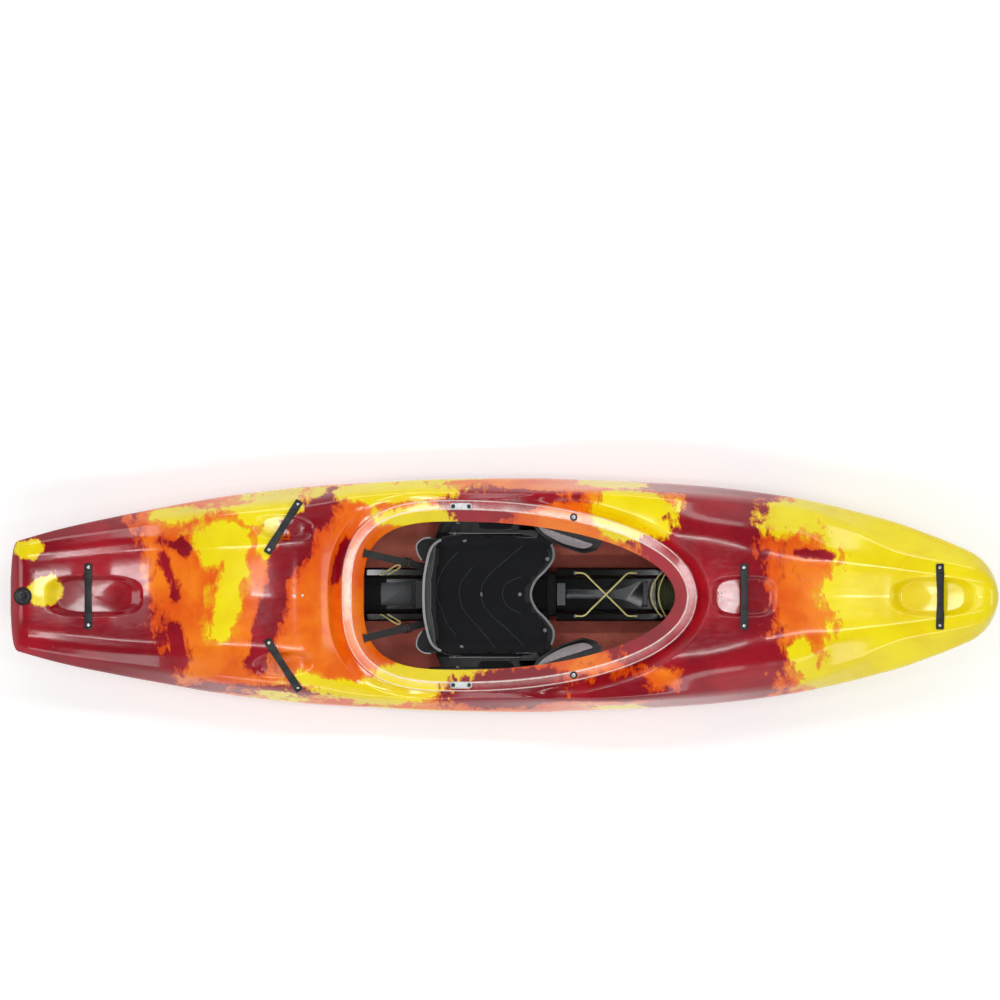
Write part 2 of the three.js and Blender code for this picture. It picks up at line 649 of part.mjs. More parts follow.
// Half of the cross section at x as [y, z] points from keel to deck, grown by a distance.
function halfSection(x, grow = 0, arc = OUTER_ARC) {
  const share = clamp(stationOf(x), 0, 1);
  const sternward = x + LENGTH / 2;
  const bowward = LENGTH / 2 - x;
  const planShare =
    endShare(sternward, STERN_END.plan, STERN_END.planPower) *
    endShare(bowward, BOW_END.plan, BOW_END.planPower);
  const sideShare =
    endShare(sternward, STERN_END.side, STERN_END.sidePower) *
    endShare(bowward, BOW_END.side, BOW_END.sidePower);
  const tip = sternward < bowward ? STERN_END.tip : BOW_END.tip;
  const keel = lerp(tip, HEIGHT * keelAt(share), sideShare);
  const deck = lerp(tip, HEIGHT * deckAt(share), sideShare);
  const half = (BEAM / 2) * beamAt(share) * planShare;
  const middle = (keel + deck) / 2;
  const wider = 1 + grow / half;
  const deeper = 1 + (2 * grow) / (deck - keel);
  const corners = cornerCurves.map((corner) => ({
    y: half * corner.width(share),
    z: lerp(keel, deck, corner.depth(share)),
    bend: corner.bend,
  }));
  const ends = [{ y: 0, z: keel }, { y: 0, z: deck }];
  const line = [ends[0], ...corners, ends[1]];
  const points = [ends[0]];
  corners.forEach((corner, i) => {
    const before = line[i];
    const after = line[i + 2];
    for (const t of spread(0, 1, arc - 1)) {
      const from = (1 - t) ** 2 * corner.bend;
      const to = t ** 2 * corner.bend;
      points.push({
        y: corner.y + (before.y - corner.y) * from + (after.y - corner.y) * to,
        z: corner.z + (before.z - corner.z) * from + (after.z - corner.z) * to,
      });
    }
  });
  points.push(ends[1]);
  return points.map(({ y, z }) => [y * wider, middle + (z - middle) * deeper]);
}

// The deck's height over a place, and the bottom's height under it.
function deckHeight(x, y, grow = 0) {
  return heightOn(halfSection(x, grow).reverse(), Math.abs(y));
}
function bottomHeight(x, y, grow = 0) {
  return heightOn(halfSection(x, grow), Math.abs(y));
}
function heightOn(points, y) {
  const i = clamp(points.findIndex((p) => p[0] > y), 1, points.length - 1);
  const [y0, z0] = points[i - 1];
  const [y1, z1] = points[i];
  return lerp(z0, z1, clamp((y - y0) / (y1 - y0), 0, 1));
}

// The stations of a loft between two distances from the ends: close together where the ends curve.
function stations(sternStart, bowStart) {
  const middle = STATION_SHARES.map((share) => (share - 0.5) * LENGTH);
  const stern = sternStart - LENGTH / 2;
  const bow = LENGTH / 2 - bowStart;
  const sternEnd = middle[0];
  const bowEnd = middle[middle.length - 1];
  return [
    ...END_SHARES.map((share) => lerp(stern, sternEnd, share * STERN_REACH_SHARE)),
    ...middle,
    ...END_SHARES.map((share) => lerp(bow, bowEnd, share)).reverse(),
  ];
}

function hullLoft(places, grow, arc) {
  const rings = places.map((x) => {
    const half = halfSection(x, grow, arc);
    const starboard = half.slice(1, -1).reverse();
    return [
      ...half.map(([y, z]) => new THREE.Vector3(x, y, z)),
      ...starboard.map(([y, z]) => new THREE.Vector3(x, -y, z)),
    ];
  });
  return loft(rings);
}

// A place on the cockpit's edge by turn angle, moved outwards along the edge's own normal.
function coamingPlace(angle, out) {
  const forward = Math.cos(angle) >= 0;
  const reach = forward ? OPENING_FRONT : OPENING_REAR;
  const power = forward ? 2 : REAR_POWER;
  const along = Math.sign(Math.cos(angle)) * Math.abs(Math.cos(angle)) ** (2 / power);
  const side = Math.sign(Math.sin(angle)) * Math.abs(Math.sin(angle)) ** (2 / power);
  const normal = new THREE.Vector2(
    (Math.sign(along) * Math.abs(along) ** (power - 1)) / reach,
    (Math.sign(side) * Math.abs(side) ** (power - 1)) / OPENING_HALF,
  ).normalize();
  return new THREE.Vector2(COCKPIT_X + reach * along, OPENING_HALF * side).addScaledVector(
    normal,
    out,
  );
}

// A solid ring around the cockpit: each profile point has a distance out and a height that may
// depend on the place.
function coamingSweep(profile) {
  const rings = spread(0, 2 * Math.PI, COAMING_STEPS)
    .slice(0, COAMING_STEPS)
    .map((angle) =>
      profile.map(([out, height]) => {
        const place = coamingPlace(angle, out);
        return new THREE.Vector3(place.x, place.y, height(place));
      }),
    );
  return loft(rings, true);
}

const fromRim = (height) => (place) => rimHeight(place.x) + height;

function coamingRing(grow = 0) {
  const seat = (place) =>
    Math.min(deckHeight(place.x, place.y), rimHeight(place.x) - MOAT_DEPTH) - WALL / 2 - grow;
  const groove = BAND_WIDTH + GROOVE;
  return coamingSweep([
    [-grow, fromRim(-BAND_DROP + grow)],
    [BAND_WIDTH, fromRim(grow)],
    [groove, fromRim(grow - GROOVE)],
    [groove + GROOVE, fromRim(grow)],
    [COAMING_WIDTH - LIP_ROUND, fromRim(grow)],
    [COAMING_WIDTH + grow, fromRim(-LIP_ROUND)],
    [COAMING_WIDTH - LIP_ROUND / 2 + grow, fromRim(-LIP_EDGE - grow)],
    [STEM_AT + STEM + grow, fromRim(-LIP_EDGE - grow)],
    [STEM_AT + STEM + grow, seat],
    [STEM_AT - grow, seat],
    [STEM_AT - grow, fromRim(-LIP_EDGE - grow)],
    [groove, fromRim(-FLANGE - GROOVE - grow)],
    [GROOVE - grow, fromRim(-BAND_DROP - FLANGE - grow)],
  ]);
}

// What is cut around the coaming so that its lip stands clear of the deck.
function moat(grow) {
  const slope = (COAMING_WIDTH - STEM_AT + STEM) / 2;
  const outer = MOAT_RING + 2 * slope + grow;
  return coamingSweep([
    [BAND_WIDTH / 2, fromRim(-MOAT_DEPTH - grow)],
    [MOAT_FLOOR + grow / 2, fromRim(-MOAT_DEPTH - grow)],
    [MOAT_RING + grow, fromRim(MOAT_RISE)],
    [outer, fromRim(MOAT_RISE + OVERRUN - grow)],
    [outer, fromRim(HEIGHT / 2)],
    [BAND_WIDTH / 2, fromRim(HEIGHT / 2)],
  ]);
}

function cockpitCut() {
  const outline = spread(0, 2 * Math.PI, COAMING_STEPS)
    .slice(0, COAMING_STEPS)
    .map((angle) => coamingPlace(angle, STEM_AT + STEM / 2).toArray());
  const up = new THREE.Matrix4().makeTranslation(0, 0, COCKPIT_CUT);
  return pushed(outline, HEIGHT, up);
}

// A hollow's cutter: a tapering bowl with a rounded outline that follows the deck's height.
function scoopCutter(scoop, grow) {
  const { halfLength, halfWidth, power, depth } = scoop;
  const deck = deckHeight(scoop.x, scoop.y);
  const floor = scoop.floorShare;
  const levels = [
    [floor, -depth - grow],
    [(1 + floor) / 2, -depth * 0.7 - grow],
    [1, -grow],
    [1.5, depth + OVERRUN],
  ];
  const rings = levels.map(([share, level]) =>
    spread(0, 2 * Math.PI, 28)
      .slice(0, 28)
      .map((angle) => {
        const along = Math.sign(Math.cos(angle)) * Math.abs(Math.cos(angle)) ** (2 / power);
        const side = Math.sign(Math.sin(angle)) * Math.abs(Math.sin(angle)) ** (2 / power);
        const u = along * (halfLength * share + grow);
        const v = side * (halfWidth * share + grow);
        const x = scoop.x + u * Math.cos(scoop.turn) - v * Math.sin(scoop.turn);
        const y = scoop.y + u * Math.sin(scoop.turn) + v * Math.cos(scoop.turn);
        const follow = deckHeight(scoop.x + u, scoop.y);
        return new THREE.Vector3(x, y, lerp(deck, follow, 0.8) + level + scoop.rise * u);
      }),
  );
  return loft(rings);
}

const outerPlaces = stations(0, 0);
const cavityPlaces = stations(CAVITY_STERN, CAVITY_BOW);
const outerSkin = (grow = 0) => hullLoft(outerPlaces, grow, OUTER_ARC);
const cavity = (grow = 0) => hullLoft(cavityPlaces, grow - WALL, INNER_ARC);

const nodes = new THREE.Group();

function finish(color, roughness, metalness = 0) {
  return new THREE.MeshStandardMaterial({ color, roughness, metalness, flatShading: true });
}
const finishes = {
  hull: finish(0xd8421b, 0.35),
  strap: finish(0x2b2d2e, 0.6),
  black: finish(0x17191a, 0.55),
  foam: finish(0x1c1e20, 0.9),
  steel: finish(0xc9cbcc, 0.3, 0.9),
  aluminium: finish(0xa9adb0, 0.4, 0.9),
  rubber: finish(0x141414, 0.8),
  grey: finish(0x8d9094, 0.5),
  pale: finish(0xc7c2c8, 0.5),
  cord: finish(0xdcd9a4, 0.8),
  olive: finish(0x4a4f33, 0.85),
  webbing: finish(0x33352f, 0.85),
};

function add(name, solid, material) {
  const mesh = new THREE.Mesh(geometryOf(solid), material);
  mesh.name = name;
  nodes.add(mesh);
  return solid;
}

const sideName = (side) => (side > 0 ? "port" : "starboard");
const at = (x, y, z) => new THREE.Vector3(x, y, z);
// A place on the coaming on one side of the boat, and the way forward along the rim there.
function coamingFrame(x, out, side) {
  const cosine = clamp((x - COCKPIT_X) / OPENING_FRONT, -1, 1);
  const angle =
    x >= COCKPIT_X
      ? Math.acos(cosine)
      : Math.PI - Math.acos(clamp((COCKPIT_X - x) / OPENING_REAR, 0, 1) ** (REAR_POWER / 2));
  const place = coamingPlace(angle, out);
  const next = coamingPlace(angle - MERGE, out);
  const along = at(
    next.x - place.x,
    next.y - place.y,
    rimHeight(next.x) - rimHeight(place.x),
  ).normalize();
  along.y *= side;
  return {
    place: at(place.x, side * place.y, rimHeight(place.x)),
    along,
  };
}

// The frame of the rim at a place: x along it, y across to port and z up.
function rimBasis(x, out, side) {
  const { place, along } = coamingFrame(x, out, side);
  const across = UP.clone().cross(along).normalize();
  const basis = new THREE.Matrix4().makeBasis(along, across, along.clone().cross(across));
  return basis.setPosition(place);
}
const moved = (x, y, z) => new THREE.Matrix4().makeTranslation(x, y, z);

// Drain fittings, turned about an upright axis
const drainPlace = (z) => at(DRAIN_X, 0, z);
const boss = turned(
  [[0, -OVERRUN], [DRAIN_BOSS, -OVERRUN], [DRAIN_BOSS, 0], [0, 0]],
  ROUND_SIDES,
  drainPlace(DRAIN_TOP),
).intersect(outerSkin(WALL + BAND_DROP / 2));
const bore = turned(
  [[0, -OVERRUN], [DRAIN_BORE, -OVERRUN], [DRAIN_BORE, OVERRUN], [0, OVERRUN]],
  ROUND_SIDES,
  drainPlace(DRAIN_TOP),
);

// The shell: skin less hollows less cavity, then the cockpit's hole, its coaming and the boss.
const hollows = (grow) =>
  SCOOPS.map((scoop) => scoopCutter(scoop, grow)).reduce((all, one) => all.add(one));
const skin = outerSkin().subtract(hollows(0)).subtract(moat(0));
const inside = cavity().subtract(hollows(WALL)).subtract(moat(WALL));
const seatCut = turned(
  [[0, 0], [DRAIN_BOSS, 0], [DRAIN_BOSS, OVERRUN], [0, OVERRUN]],
  ROUND_SIDES,
  drainPlace(DRAIN_TOP),
);
let shell = skin
  .add(boss)
  .subtract(inside)
  .subtract(cockpitCut())
  .add(coamingRing())
  .subtract(bore)
  .subtract(seatCut);

// Anchor plates: each lies in a shallow seat in the rim. Its studs pass down through the rim and
// the seat's hanger, which a nut holds on each.
const studNut = FLANGE + HANGER_THICKNESS + 2 * GAP + SLACK;
for (const side of [1, -1]) {
  const put = rimBasis(ANCHOR_X, ANCHOR_OUT, side).multiply(moved(0, 0, -GROOVE));
  const stadium = (grow) => {
    const radius = ANCHOR_WIDTH / 2 + grow;
    const straight = ANCHOR_LENGTH / 2 - ANCHOR_WIDTH / 2;
    const arc = (centre, from) =>
      spread(from, from + Math.PI, 6).map((a) => [
        centre + radius * Math.cos(a),
        radius * Math.sin(a),
      ]);
    return [...arc(straight, -Math.PI / 2), ...arc(-straight, Math.PI / 2)];
  };
  const post = (x, radius, top, bottom, sides) =>
    turned([[0, bottom], [radius, bottom], [radius, top], [0, top]], sides, at(x, 0, 0))
      .transform(put.toArray());
  shell = shell.subtract(pushed(stadium(GAP), OVERRUN, put));
  let plate = pushed(stadium(0), ANCHOR_THICKNESS, put.clone().multiply(moved(0, 0, GAP)));
  const seatSide =
    SEAT_HALF + BRACKET_THICKNESS + HANGER_THICKNESS / 2 + SLACK - OPENING_HALF - ANCHOR_OUT;
  const tail = HANGER_TAIL.map((z, i) => [seatSide + (i ? 0 : HANGER_BEND), z]);
  let hanger = strap(
    [...HANGER_PATH, ...tail].map(([y, z]) => at(0, y * side, z).applyMatrix4(put)),
    at(1, 0, 0).transformDirection(put),
    () => HANGER_WIDTH,
    HANGER_THICKNESS,
  );
  for (const x of [STUD_SPACING / 2, -STUD_SPACING / 2]) {
    shell = shell.subtract(post(x, STUD_RADIUS + GAP, OVERRUN, -OVERRUN, BOLT_SIDES));
    hanger = hanger.subtract(post(x, STUD_RADIUS + GAP, OVERRUN, -OVERRUN, BOLT_SIDES));
    const end = -studNut - NUT_HEIGHT - SLACK;
    plate = plate
      .add(post(x, STUD_RADIUS, ANCHOR_THICKNESS / 2, end, BOLT_SIDES))
      .add(post(x, NUT_RADIUS, -studNut, -studNut - NUT_HEIGHT, 6));
  }
  const reach = SEAT_TRAVEL + BOLT_SHANK + SLACK;
  const slot = block(
    [SEAT_BOLT_X - reach, SEAT_BOLT_X + reach],
    [side * (SEAT_HALF - OVERRUN), side * (SEAT_HALF + OVERRUN)],
    [SEAT_BOLT_Z - BOLT_SHANK - SLACK, SEAT_BOLT_Z + BOLT_SHANK + SLACK],
  );
  add(`anchor_plate_${sideName(side)}`, plate, finishes.steel);
  add(`seat_hanger_${sideName(side)}`, hanger.subtract(slot), finishes.black);
}

// Webbing from slots in the coaming's rear band, down to a buckle behind the backband.
const slotShare = WEBBING_SLOT_Y / OPENING_HALF;
const slotX = COCKPIT_X - OPENING_REAR * (1 - slotShare ** REAR_POWER) ** (1 / REAR_POWER);
const bandHeight = (place, out) =>
  rimHeight(place.x) - BAND_DROP * clamp(1 - out / BAND_WIDTH, 0, 1);
const webbingWays = [1, -1].map((side) => {
  const { place } = coamingFrame(slotX, WEBBING_SLOT_OUT, side);
  const start = at(place.x, place.y, bandHeight(place, WEBBING_SLOT_OUT));
  const end = at(WEBBING_END[0], side * WEBBING_END[1], WEBBING_END[2]);
  const ahead = end.clone().sub(start).setZ(0).normalize();
  return { side, start, end, ahead, across: at(-ahead.y, ahead.x, 0) };
});
for (const way of webbingWays) {
  const { side, start, end, ahead, across } = way;
  const put = new THREE.Matrix4().makeBasis(across, ahead.clone().negate(), UP);
  put.setPosition(start.x, start.y, start.z - HEIGHT / 4);
  const [long, wide] = WEBBING_SLOT.map((size) => size / 2);
  const slot = [[-long, -wide], [long, -wide], [long, wide], [-long, wide]];
  shell = shell.subtract(pushed(slot, HEIGHT / 2, put));
  const lift = WEBBING_THICKNESS / 2 + RUN;
  const on = (forward, up) => start.clone().addScaledVector(ahead, forward).addScaledVector(UP, up);
  const edge = on(WEBBING_SLOT_OUT * 1.1, -BAND_DROP * 0.33 + lift);
  const path = [
    on(0, -FLANGE * 2),
    on(0, -lift),
    on(lift * 0.6, lift * 0.7),
    on(lift * 2, lift * 0.8),
    edge,
    edge.clone().addScaledVector(ahead, lift * 2).addScaledVector(UP, -lift),
    edge.clone().lerp(end, BUCKLE_SHARE + BUCKLE_TAIL_SHARE),
  ];
  add(`webbing_${sideName(side)}`, strap(path, across, () => WEBBING_WIDTH, WEBBING_THICKNESS),
    finishes.webbing);
  way.bend = path[path.length - 2];
}

// Handles: straps that arch over a hollow, with feet that follow the deck.
const deckClear = outerSkin(GAP);
const handleRise = (share) => smooth((share - 0.12) / 0.3) * smooth((0.88 - share) / 0.3);
const HANDLES = [
  { name: "stern_handle", from: [STERN_HANDLE_X, HANDLE_SPACING / 2],
    to: [STERN_HANDLE_X, -HANDLE_SPACING / 2], rise: STERN_HANDLE_RISE },
  { name: "bow_handle", from: [BOW_HANDLE_X, HANDLE_SPACING / 2],
    to: [BOW_HANDLE_X, -HANDLE_SPACING / 2], rise: BOW_HANDLE_RISE },
  { name: "front_deck_handle", from: [FRONT_HANDLE_X, HANDLE_SPACING / 2],
    to: [FRONT_HANDLE_X, -HANDLE_SPACING / 2], rise: FRONT_HANDLE_RISE },
  { name: "rear_handle_port", from: SIDE_HANDLE_INNER, to: SIDE_HANDLE_OUTER,
    rise: SIDE_HANDLE_RISE },
  { name: "rear_handle_starboard", from: [SIDE_HANDLE_INNER[0], -SIDE_HANDLE_INNER[1]],
    to: [SIDE_HANDLE_OUTER[0], -SIDE_HANDLE_OUTER[1]], rise: SIDE_HANDLE_RISE },
];
for (const { name, from, to, rise } of HANDLES) {
  const foot = ([x, y]) => at(x, y, deckHeight(x, y) + HANDLE_THICKNESS / 2 - HANDLE_SINK);
  const [first, last] = [foot(from), foot(to)];
  const middle = first.clone().lerp(last, 0.5);
  const crown = Math.max(deckHeight(middle.x, middle.y) - middle.z, 0);
  const span = first.distanceTo(last);
  const beyond = HANDLE_WIDTH / 2 / span;
  const ends = [0, 0.06, 0.2, 0.45].map((share) => share * 2 * beyond - beyond);
  const shares = [...ends, ...spread(beyond, 1 - beyond, 10), ...ends.map((e) => 1 - e).reverse()];
  const path = shares.map((share) =>
    first.clone().lerp(last, share).addScaledVector(UP, (crown + rise) * handleRise(share)),
  );
  const across = at(to[1] - from[1], from[0] - to[0], 0).normalize();
  const widthAt = (share) => {
    const i = Math.round(share * (shares.length - 1));
    const inset = clamp(Math.min(shares[i], 1 - shares[i]) / beyond, -0.98, 0);
    return HANDLE_WIDTH * Math.sqrt(1 - inset * inset);
  };
  let body = strap(path, across, widthAt, HANDLE_THICKNESS).subtract(deckClear);
  for (const place of [first, last]) {
    const hole = turned(
      [[0, -OVERRUN], [BOLT_SHANK, -OVERRUN], [BOLT_SHANK, OVERRUN], [0, OVERRUN]],
      BOLT_SIDES,
      place,
    );
    body = body.subtract(hole);
  }
  add(name, body, finishes.strap);
}

// Drain fittings, stacked on the boss.
const disc = (outer, inner, bottom, top) =>
  turned([[inner, bottom], [outer, bottom], [outer, top], [inner, top], [inner, bottom]],
    ROUND_SIDES, at(DRAIN_X, 0, 0));
const flangeTop = DRAIN_TOP + GAP + DRAIN_FLANGE_THICKNESS;
const gasketTop = flangeTop + GAP + GASKET_THICKNESS;
const neckBottom = DRAIN_TOP - DRAIN_NECK;
add("drain_ring", disc(DRAIN_FLANGE, DRAIN_THREAD, DRAIN_TOP + GAP, flangeTop).add(
  disc(DRAIN_BORE - GAP, DRAIN_THREAD, neckBottom, flangeTop - GAP)), finishes.rubber);
add("drain_gasket", disc(GASKET_OUTER, DRAIN_THREAD, flangeTop + GAP, gasketTop), finishes.rubber);
const lobes = spread(0, 2 * Math.PI, PLUG_LOBES * 4)
  .slice(0, PLUG_LOBES * 4)
  .map((angle) => {
    const radius = PLUG_RADIUS - PLUG_LOBE_DEPTH * (1 - Math.cos(angle * PLUG_LOBES)) / 2;
    return [radius * Math.cos(angle), radius * Math.sin(angle)];
  });
const plugPlace = moved(DRAIN_X, 0, gasketTop + GAP);
const plug = pushed(lobes, PLUG_HEIGHT, plugPlace).add(
  turned(
    [[0, -PLUG_STEM], [DRAIN_THREAD - GAP, -PLUG_STEM], [DRAIN_THREAD - GAP, GAP], [0, GAP]],
    ROUND_SIDES,
    at(DRAIN_X, 0, gasketTop + GAP),
  ),
);
add("drain_plug", plug, finishes.grey);

// Trays: folded sections whose legs are cut to the hull's floor.
const room = cavity(-GAP);
const alongX = new THREE.Matrix4().makeBasis(ACROSS, UP, at(1, 0, 0));
const extruded = (outline, [x0, x1]) => pushed(outline, x1 - x0, moved(x0, 0, 0).multiply(alongX));
function traySection(top, floor) {
  const slope = TROUGH_TAPER / (TRAY_TOP - TRAY_FLOOR);
  const inner = (z) => TROUGH_HALF - (TRAY_TOP - z) * slope;
  const outside = [
    [TRAY_HALF, 0], [TRAY_HALF, top - TRAY_ROUND], [TRAY_HALF - TRAY_ROUND, top],
    [inner(top) + TRAY_ROUND, top], [inner(top - TRAY_ROUND), top - TRAY_ROUND],
    [inner(floor), floor],
  ];
  const below = [
    [inner(floor) + TRAY_WALL, floor - TRAY_WALL],
    [inner(top - TRAY_ROUND) + TRAY_WALL, top - TRAY_ROUND * 1.4],
    [inner(top) + TRAY_ROUND + TRAY_WALL / 2, top - TRAY_WALL],
    [TRAY_HALF - TRAY_ROUND - TRAY_WALL / 2, top - TRAY_WALL],
    [TRAY_HALF - TRAY_WALL, top - TRAY_ROUND * 1.4], [TRAY_HALF - TRAY_WALL, 0],
  ];
  const mirrored = (points) => points.map(([y, z]) => [-y, z]).reverse();
  return [...outside, ...mirrored(outside), ...mirrored(below), ...below];
}
const upright = ({ x, half, top, height }, floor) =>
  block(x, [-half, half], [floor - TRAY_WALL / 2, top ?? floor + height]);
const flare = pushed(
  [
    [RIB.flareX[0], -RIB.half], [RIB.flareX[1], -RIB.flareHalf], [RIB.x[1], -RIB.flareHalf],
    [RIB.x[1], RIB.flareHalf], [RIB.flareX[1], RIB.flareHalf], [RIB.flareX[0], RIB.half],
  ],
  RIB.height + TRAY_WALL / 2,
  moved(0, 0, TRAY_FLOOR - TRAY_WALL / 2),
);
const frontTray = extruded(traySection(TRAY_TOP, TRAY_FLOOR), FRONT_TRAY)
  .add(upright(CROSS_BLOCK, TRAY_FLOOR))
  .add(upright(RIB, TRAY_FLOOR))
  .add(flare);
add("front_tray", frontTray.intersect(room), finishes.black);
const rearTray = extruded(traySection(TRAY_TOP, TRAY_FLOOR), REAR_TRAY).add(
  extruded(traySection(TRACK_TOP, TRACK_FLOOR), SEAT_TRACK),
);
add("rear_tray", rearTray.intersect(room), finishes.black);

// Bottle in its sleeve
const bottleHeight = TRAY_FLOOR + BOTTLE_RADIUS + GAP;
add(
  "bottle_sleeve",
  turned(
    [
      [0, 0], [BOTTLE_RADIUS - BOTTLE_ROUND, 0],
      [BOTTLE_RADIUS - BOTTLE_ROUND * 0.3, BOTTLE_ROUND * 0.29],
      [BOTTLE_RADIUS, BOTTLE_ROUND], [BOTTLE_RADIUS, BOTTLE_LENGTH - BOTTLE_ROUND * 0.6],
      [BOTTLE_RADIUS - BOTTLE_ROUND * 0.6, BOTTLE_LENGTH], [0, BOTTLE_LENGTH],
    ],
    BOTTLE_SIDES,
    at(BOTTLE_REAR, 0, bottleHeight),
    at(1, 0, 0),
  ),
  finishes.olive,
);

// Cords
const ridge = TRAY_TOP + GAP + BUNGEE_RADIUS;
const cord = (points, steps, radius) =>
  tube(new THREE.CatmullRomCurve3(points, false, "centripetal"), steps, radius, BUNGEE_SIDES);
const middleX = (CROSS_X[0] + CROSS_X[1]) / 2;
[1, -1].forEach((side) => {
  const rise = side > 0 ? 2 * BUNGEE_RADIUS + GAP : 0;
  const points = [
    at(CROSS_X[0], -side * RIDGE_Y, ridge),
    at(CROSS_X[0] + CROSS_BEND, -side * RIDGE_Y * 0.8, ridge + rise * 0.2),
    at(middleX, 0, ridge + rise),
    at(CROSS_X[1] - CROSS_BEND, side * RIDGE_Y * 0.8, ridge + rise * 0.2),
    at(CROSS_X[1], side * RIDGE_Y, ridge),
  ];
  add(`bungee_${sideName(side)}`, cord(points, 16, BUNGEE_RADIUS), finishes.cord);
});
for (const { name, ends, bulge, rise } of LOOPS) {
  const points = spread(-1, 1, 6).map((share) =>
    at(ends - bulge * (1 - share * share), share * RIDGE_Y, ridge + rise * (1 - share ** 4)),
  );
  add(name, cord(points, 18, BUNGEE_RADIUS), finishes.cord);
}
for (const side of [1, -1]) {
  const points = REAR_CORD_PATH.map(([x, y, z]) =>
    at(x, side * y, z + TRAY_TOP + GAP + REAR_CORD_RADIUS),
  );
  add(`rear_cord_${sideName(side)}`, cord(points, 18, REAR_CORD_RADIUS), finishes.cord);
}

// Seat pan: a moulded sheet with raised sides, brackets, a shelf at the rear and two tabs.
const liftAt = curveThrough(SEAT_LIFT_SHARES);
const notchAt = curveThrough(SEAT_NOTCH_SHARES);
function seatPoint(u, v) {
  const y = SEAT_HALF * (2 * v - 1);
  const share = Math.abs(2 * v - 1);
  const rear = SEAT_REAR + SEAT_NOTCH * 0.4 * share ** 4;
  const front = SEAT_FRONT - SEAT_NOTCH * (1 - notchAt(share));
  const x = lerp(rear, front, u);
  const along = (x - SEAT_REAR) / (SEAT_FRONT - SEAT_REAR);
  const side = smooth((share - SEAT_SIDE_FROM_SHARE) / (1 - SEAT_SIDE_FROM_SHARE));
  return at(x, y, SEAT_LOW + SEAT_LIFT * liftAt(along) + SEAT_SIDE_RISE * side);
}
let pan = slab(
  SEAT_GRID,
  seatPoint,
  (u, v) => seatPoint(u, v).addScaledVector(UP, -SEAT_SHELL),
);
const shelfTop = SEAT_LOW + SEAT_LIFT;
pan = pan.add(block(SHELF_X, [-SHELF_HALF, SHELF_HALF], [shelfTop - SHELF_THICKNESS, shelfTop]));
const runnerY = (TRAY_HALF + TROUGH_HALF) / 2;
for (const side of [1, -1]) {
  const sides = (from, to) => [side * from, side * to].sort((a, b) => a - b);
  const runner = block(
    RUNNER_X,
    sides(runnerY - TRAY_ROUND, runnerY + TRAY_ROUND),
    [TRACK_TOP + GAP, SEAT_LOW - SEAT_SHELL / 2],
  );
  const bracket = new THREE.Matrix4().makeBasis(at(1, 0, 0), UP, at(0, -1, 0));
  const face = side > 0 ? SEAT_HALF + BRACKET_THICKNESS : -SEAT_HALF;
  const plate = pushed(BRACKET_OUTLINE, BRACKET_THICKNESS, moved(0, face, 0).multiply(bracket));
  const edge = block([BRACKET_OUTLINE[0][0] + OVERRUN, BRACKET_OUTLINE[1][0]],
    sides(SEAT_HALF - BITE, SEAT_HALF + BITE),
    [BRACKET_OUTLINE[0][1], BRACKET_OUTLINE[0][1] + SEAT_SHELL]);
  const tab = block(RATCHET_TAB_X, sides(...RATCHET_TAB_Y), [shelfTop, RATCHET_TAB_TOP]);
  const tabFoot = block(RATCHET_TAB_X, sides(RATCHET_TAB_Y[0], SEAT_HALF + BITE),
    [shelfTop + SEAT_LIFT / 2, shelfTop + SEAT_LIFT / 2 + SEAT_SHELL]);
  const hole = turned(
    [[0, -OVERRUN], [BOLT_SHANK + GAP, -OVERRUN], [BOLT_SHANK + GAP, OVERRUN], [0, OVERRUN]],
    BOLT_SIDES,
    at(SEAT_BOLT_X, side * SEAT_HALF, SEAT_BOLT_Z),
    ACROSS,
  );
  pan = pan.add(runner).add(plate).add(edge).add(tab).add(tabFoot).subtract(hole);
  const outside = SEAT_HALF + BRACKET_THICKNESS + HANGER_THICKNESS + 3 * GAP;
  const bolt = turned(
    [
      [0, -BOLT_DOME], [BOLT_HEAD, -BOLT_DOME], [BOLT_HEAD, 0], [BOLT_SHANK, 0],
      [BOLT_SHANK, outside - SEAT_HALF + GAP],
      [BOLT_HEAD + HEAD_OVER, outside - SEAT_HALF + GAP],
      [BOLT_HEAD + HEAD_OVER, outside - SEAT_HALF + NUT_HEIGHT],
      [0, outside - SEAT_HALF + NUT_HEIGHT],
    ],
    BOLT_SIDES,
    at(SEAT_BOLT_X, side * (SEAT_HALF - GAP), SEAT_BOLT_Z),
    at(0, side, 0),
  );
  add(`seat_bolt_${sideName(side)}`, bolt, finishes.steel);
  const hipPad = block(
    HIP_PAD_X,
    sides(SEAT_HALF - GAP - HIP_PAD_THICKNESS, SEAT_HALF - GAP),
    HIP_PAD_Z,
  );
  add(`hip_pad_${sideName(side)}`, hipPad, finishes.foam);
}
add("seat_pan", pan, finishes.black);

// A grid without its outermost lines, and how far inside its new edge a place is, from 0 to 1.
const within = (grid) => grid.map((shares) => shares.slice(1, -1));
const easeIn = ([us, vs], u, v, steepness) => {
  const edge = Math.min(u - us[0], us[us.length - 1] - u, v - vs[0], vs[vs.length - 1] - v);
  return smooth(clamp(edge * steepness, 0, 1));
};

// Seat foam, thinner towards its edge. It shares the pan's grid, so the two faces stay parallel.
const padGrid = within(SEAT_GRID);
add(
  "seat_pad",
  slab(
    padGrid,
    (u, v) => {
      const rise = lerp(PAD_EDGE, PAD_THICKNESS, easeIn(padGrid, u, v, 8));
      return seatPoint(u, v).addScaledVector(UP, GAP + rise);
    },
    (u, v) => seatPoint(u, v).addScaledVector(UP, GAP),
  ),
  finishes.foam,
);

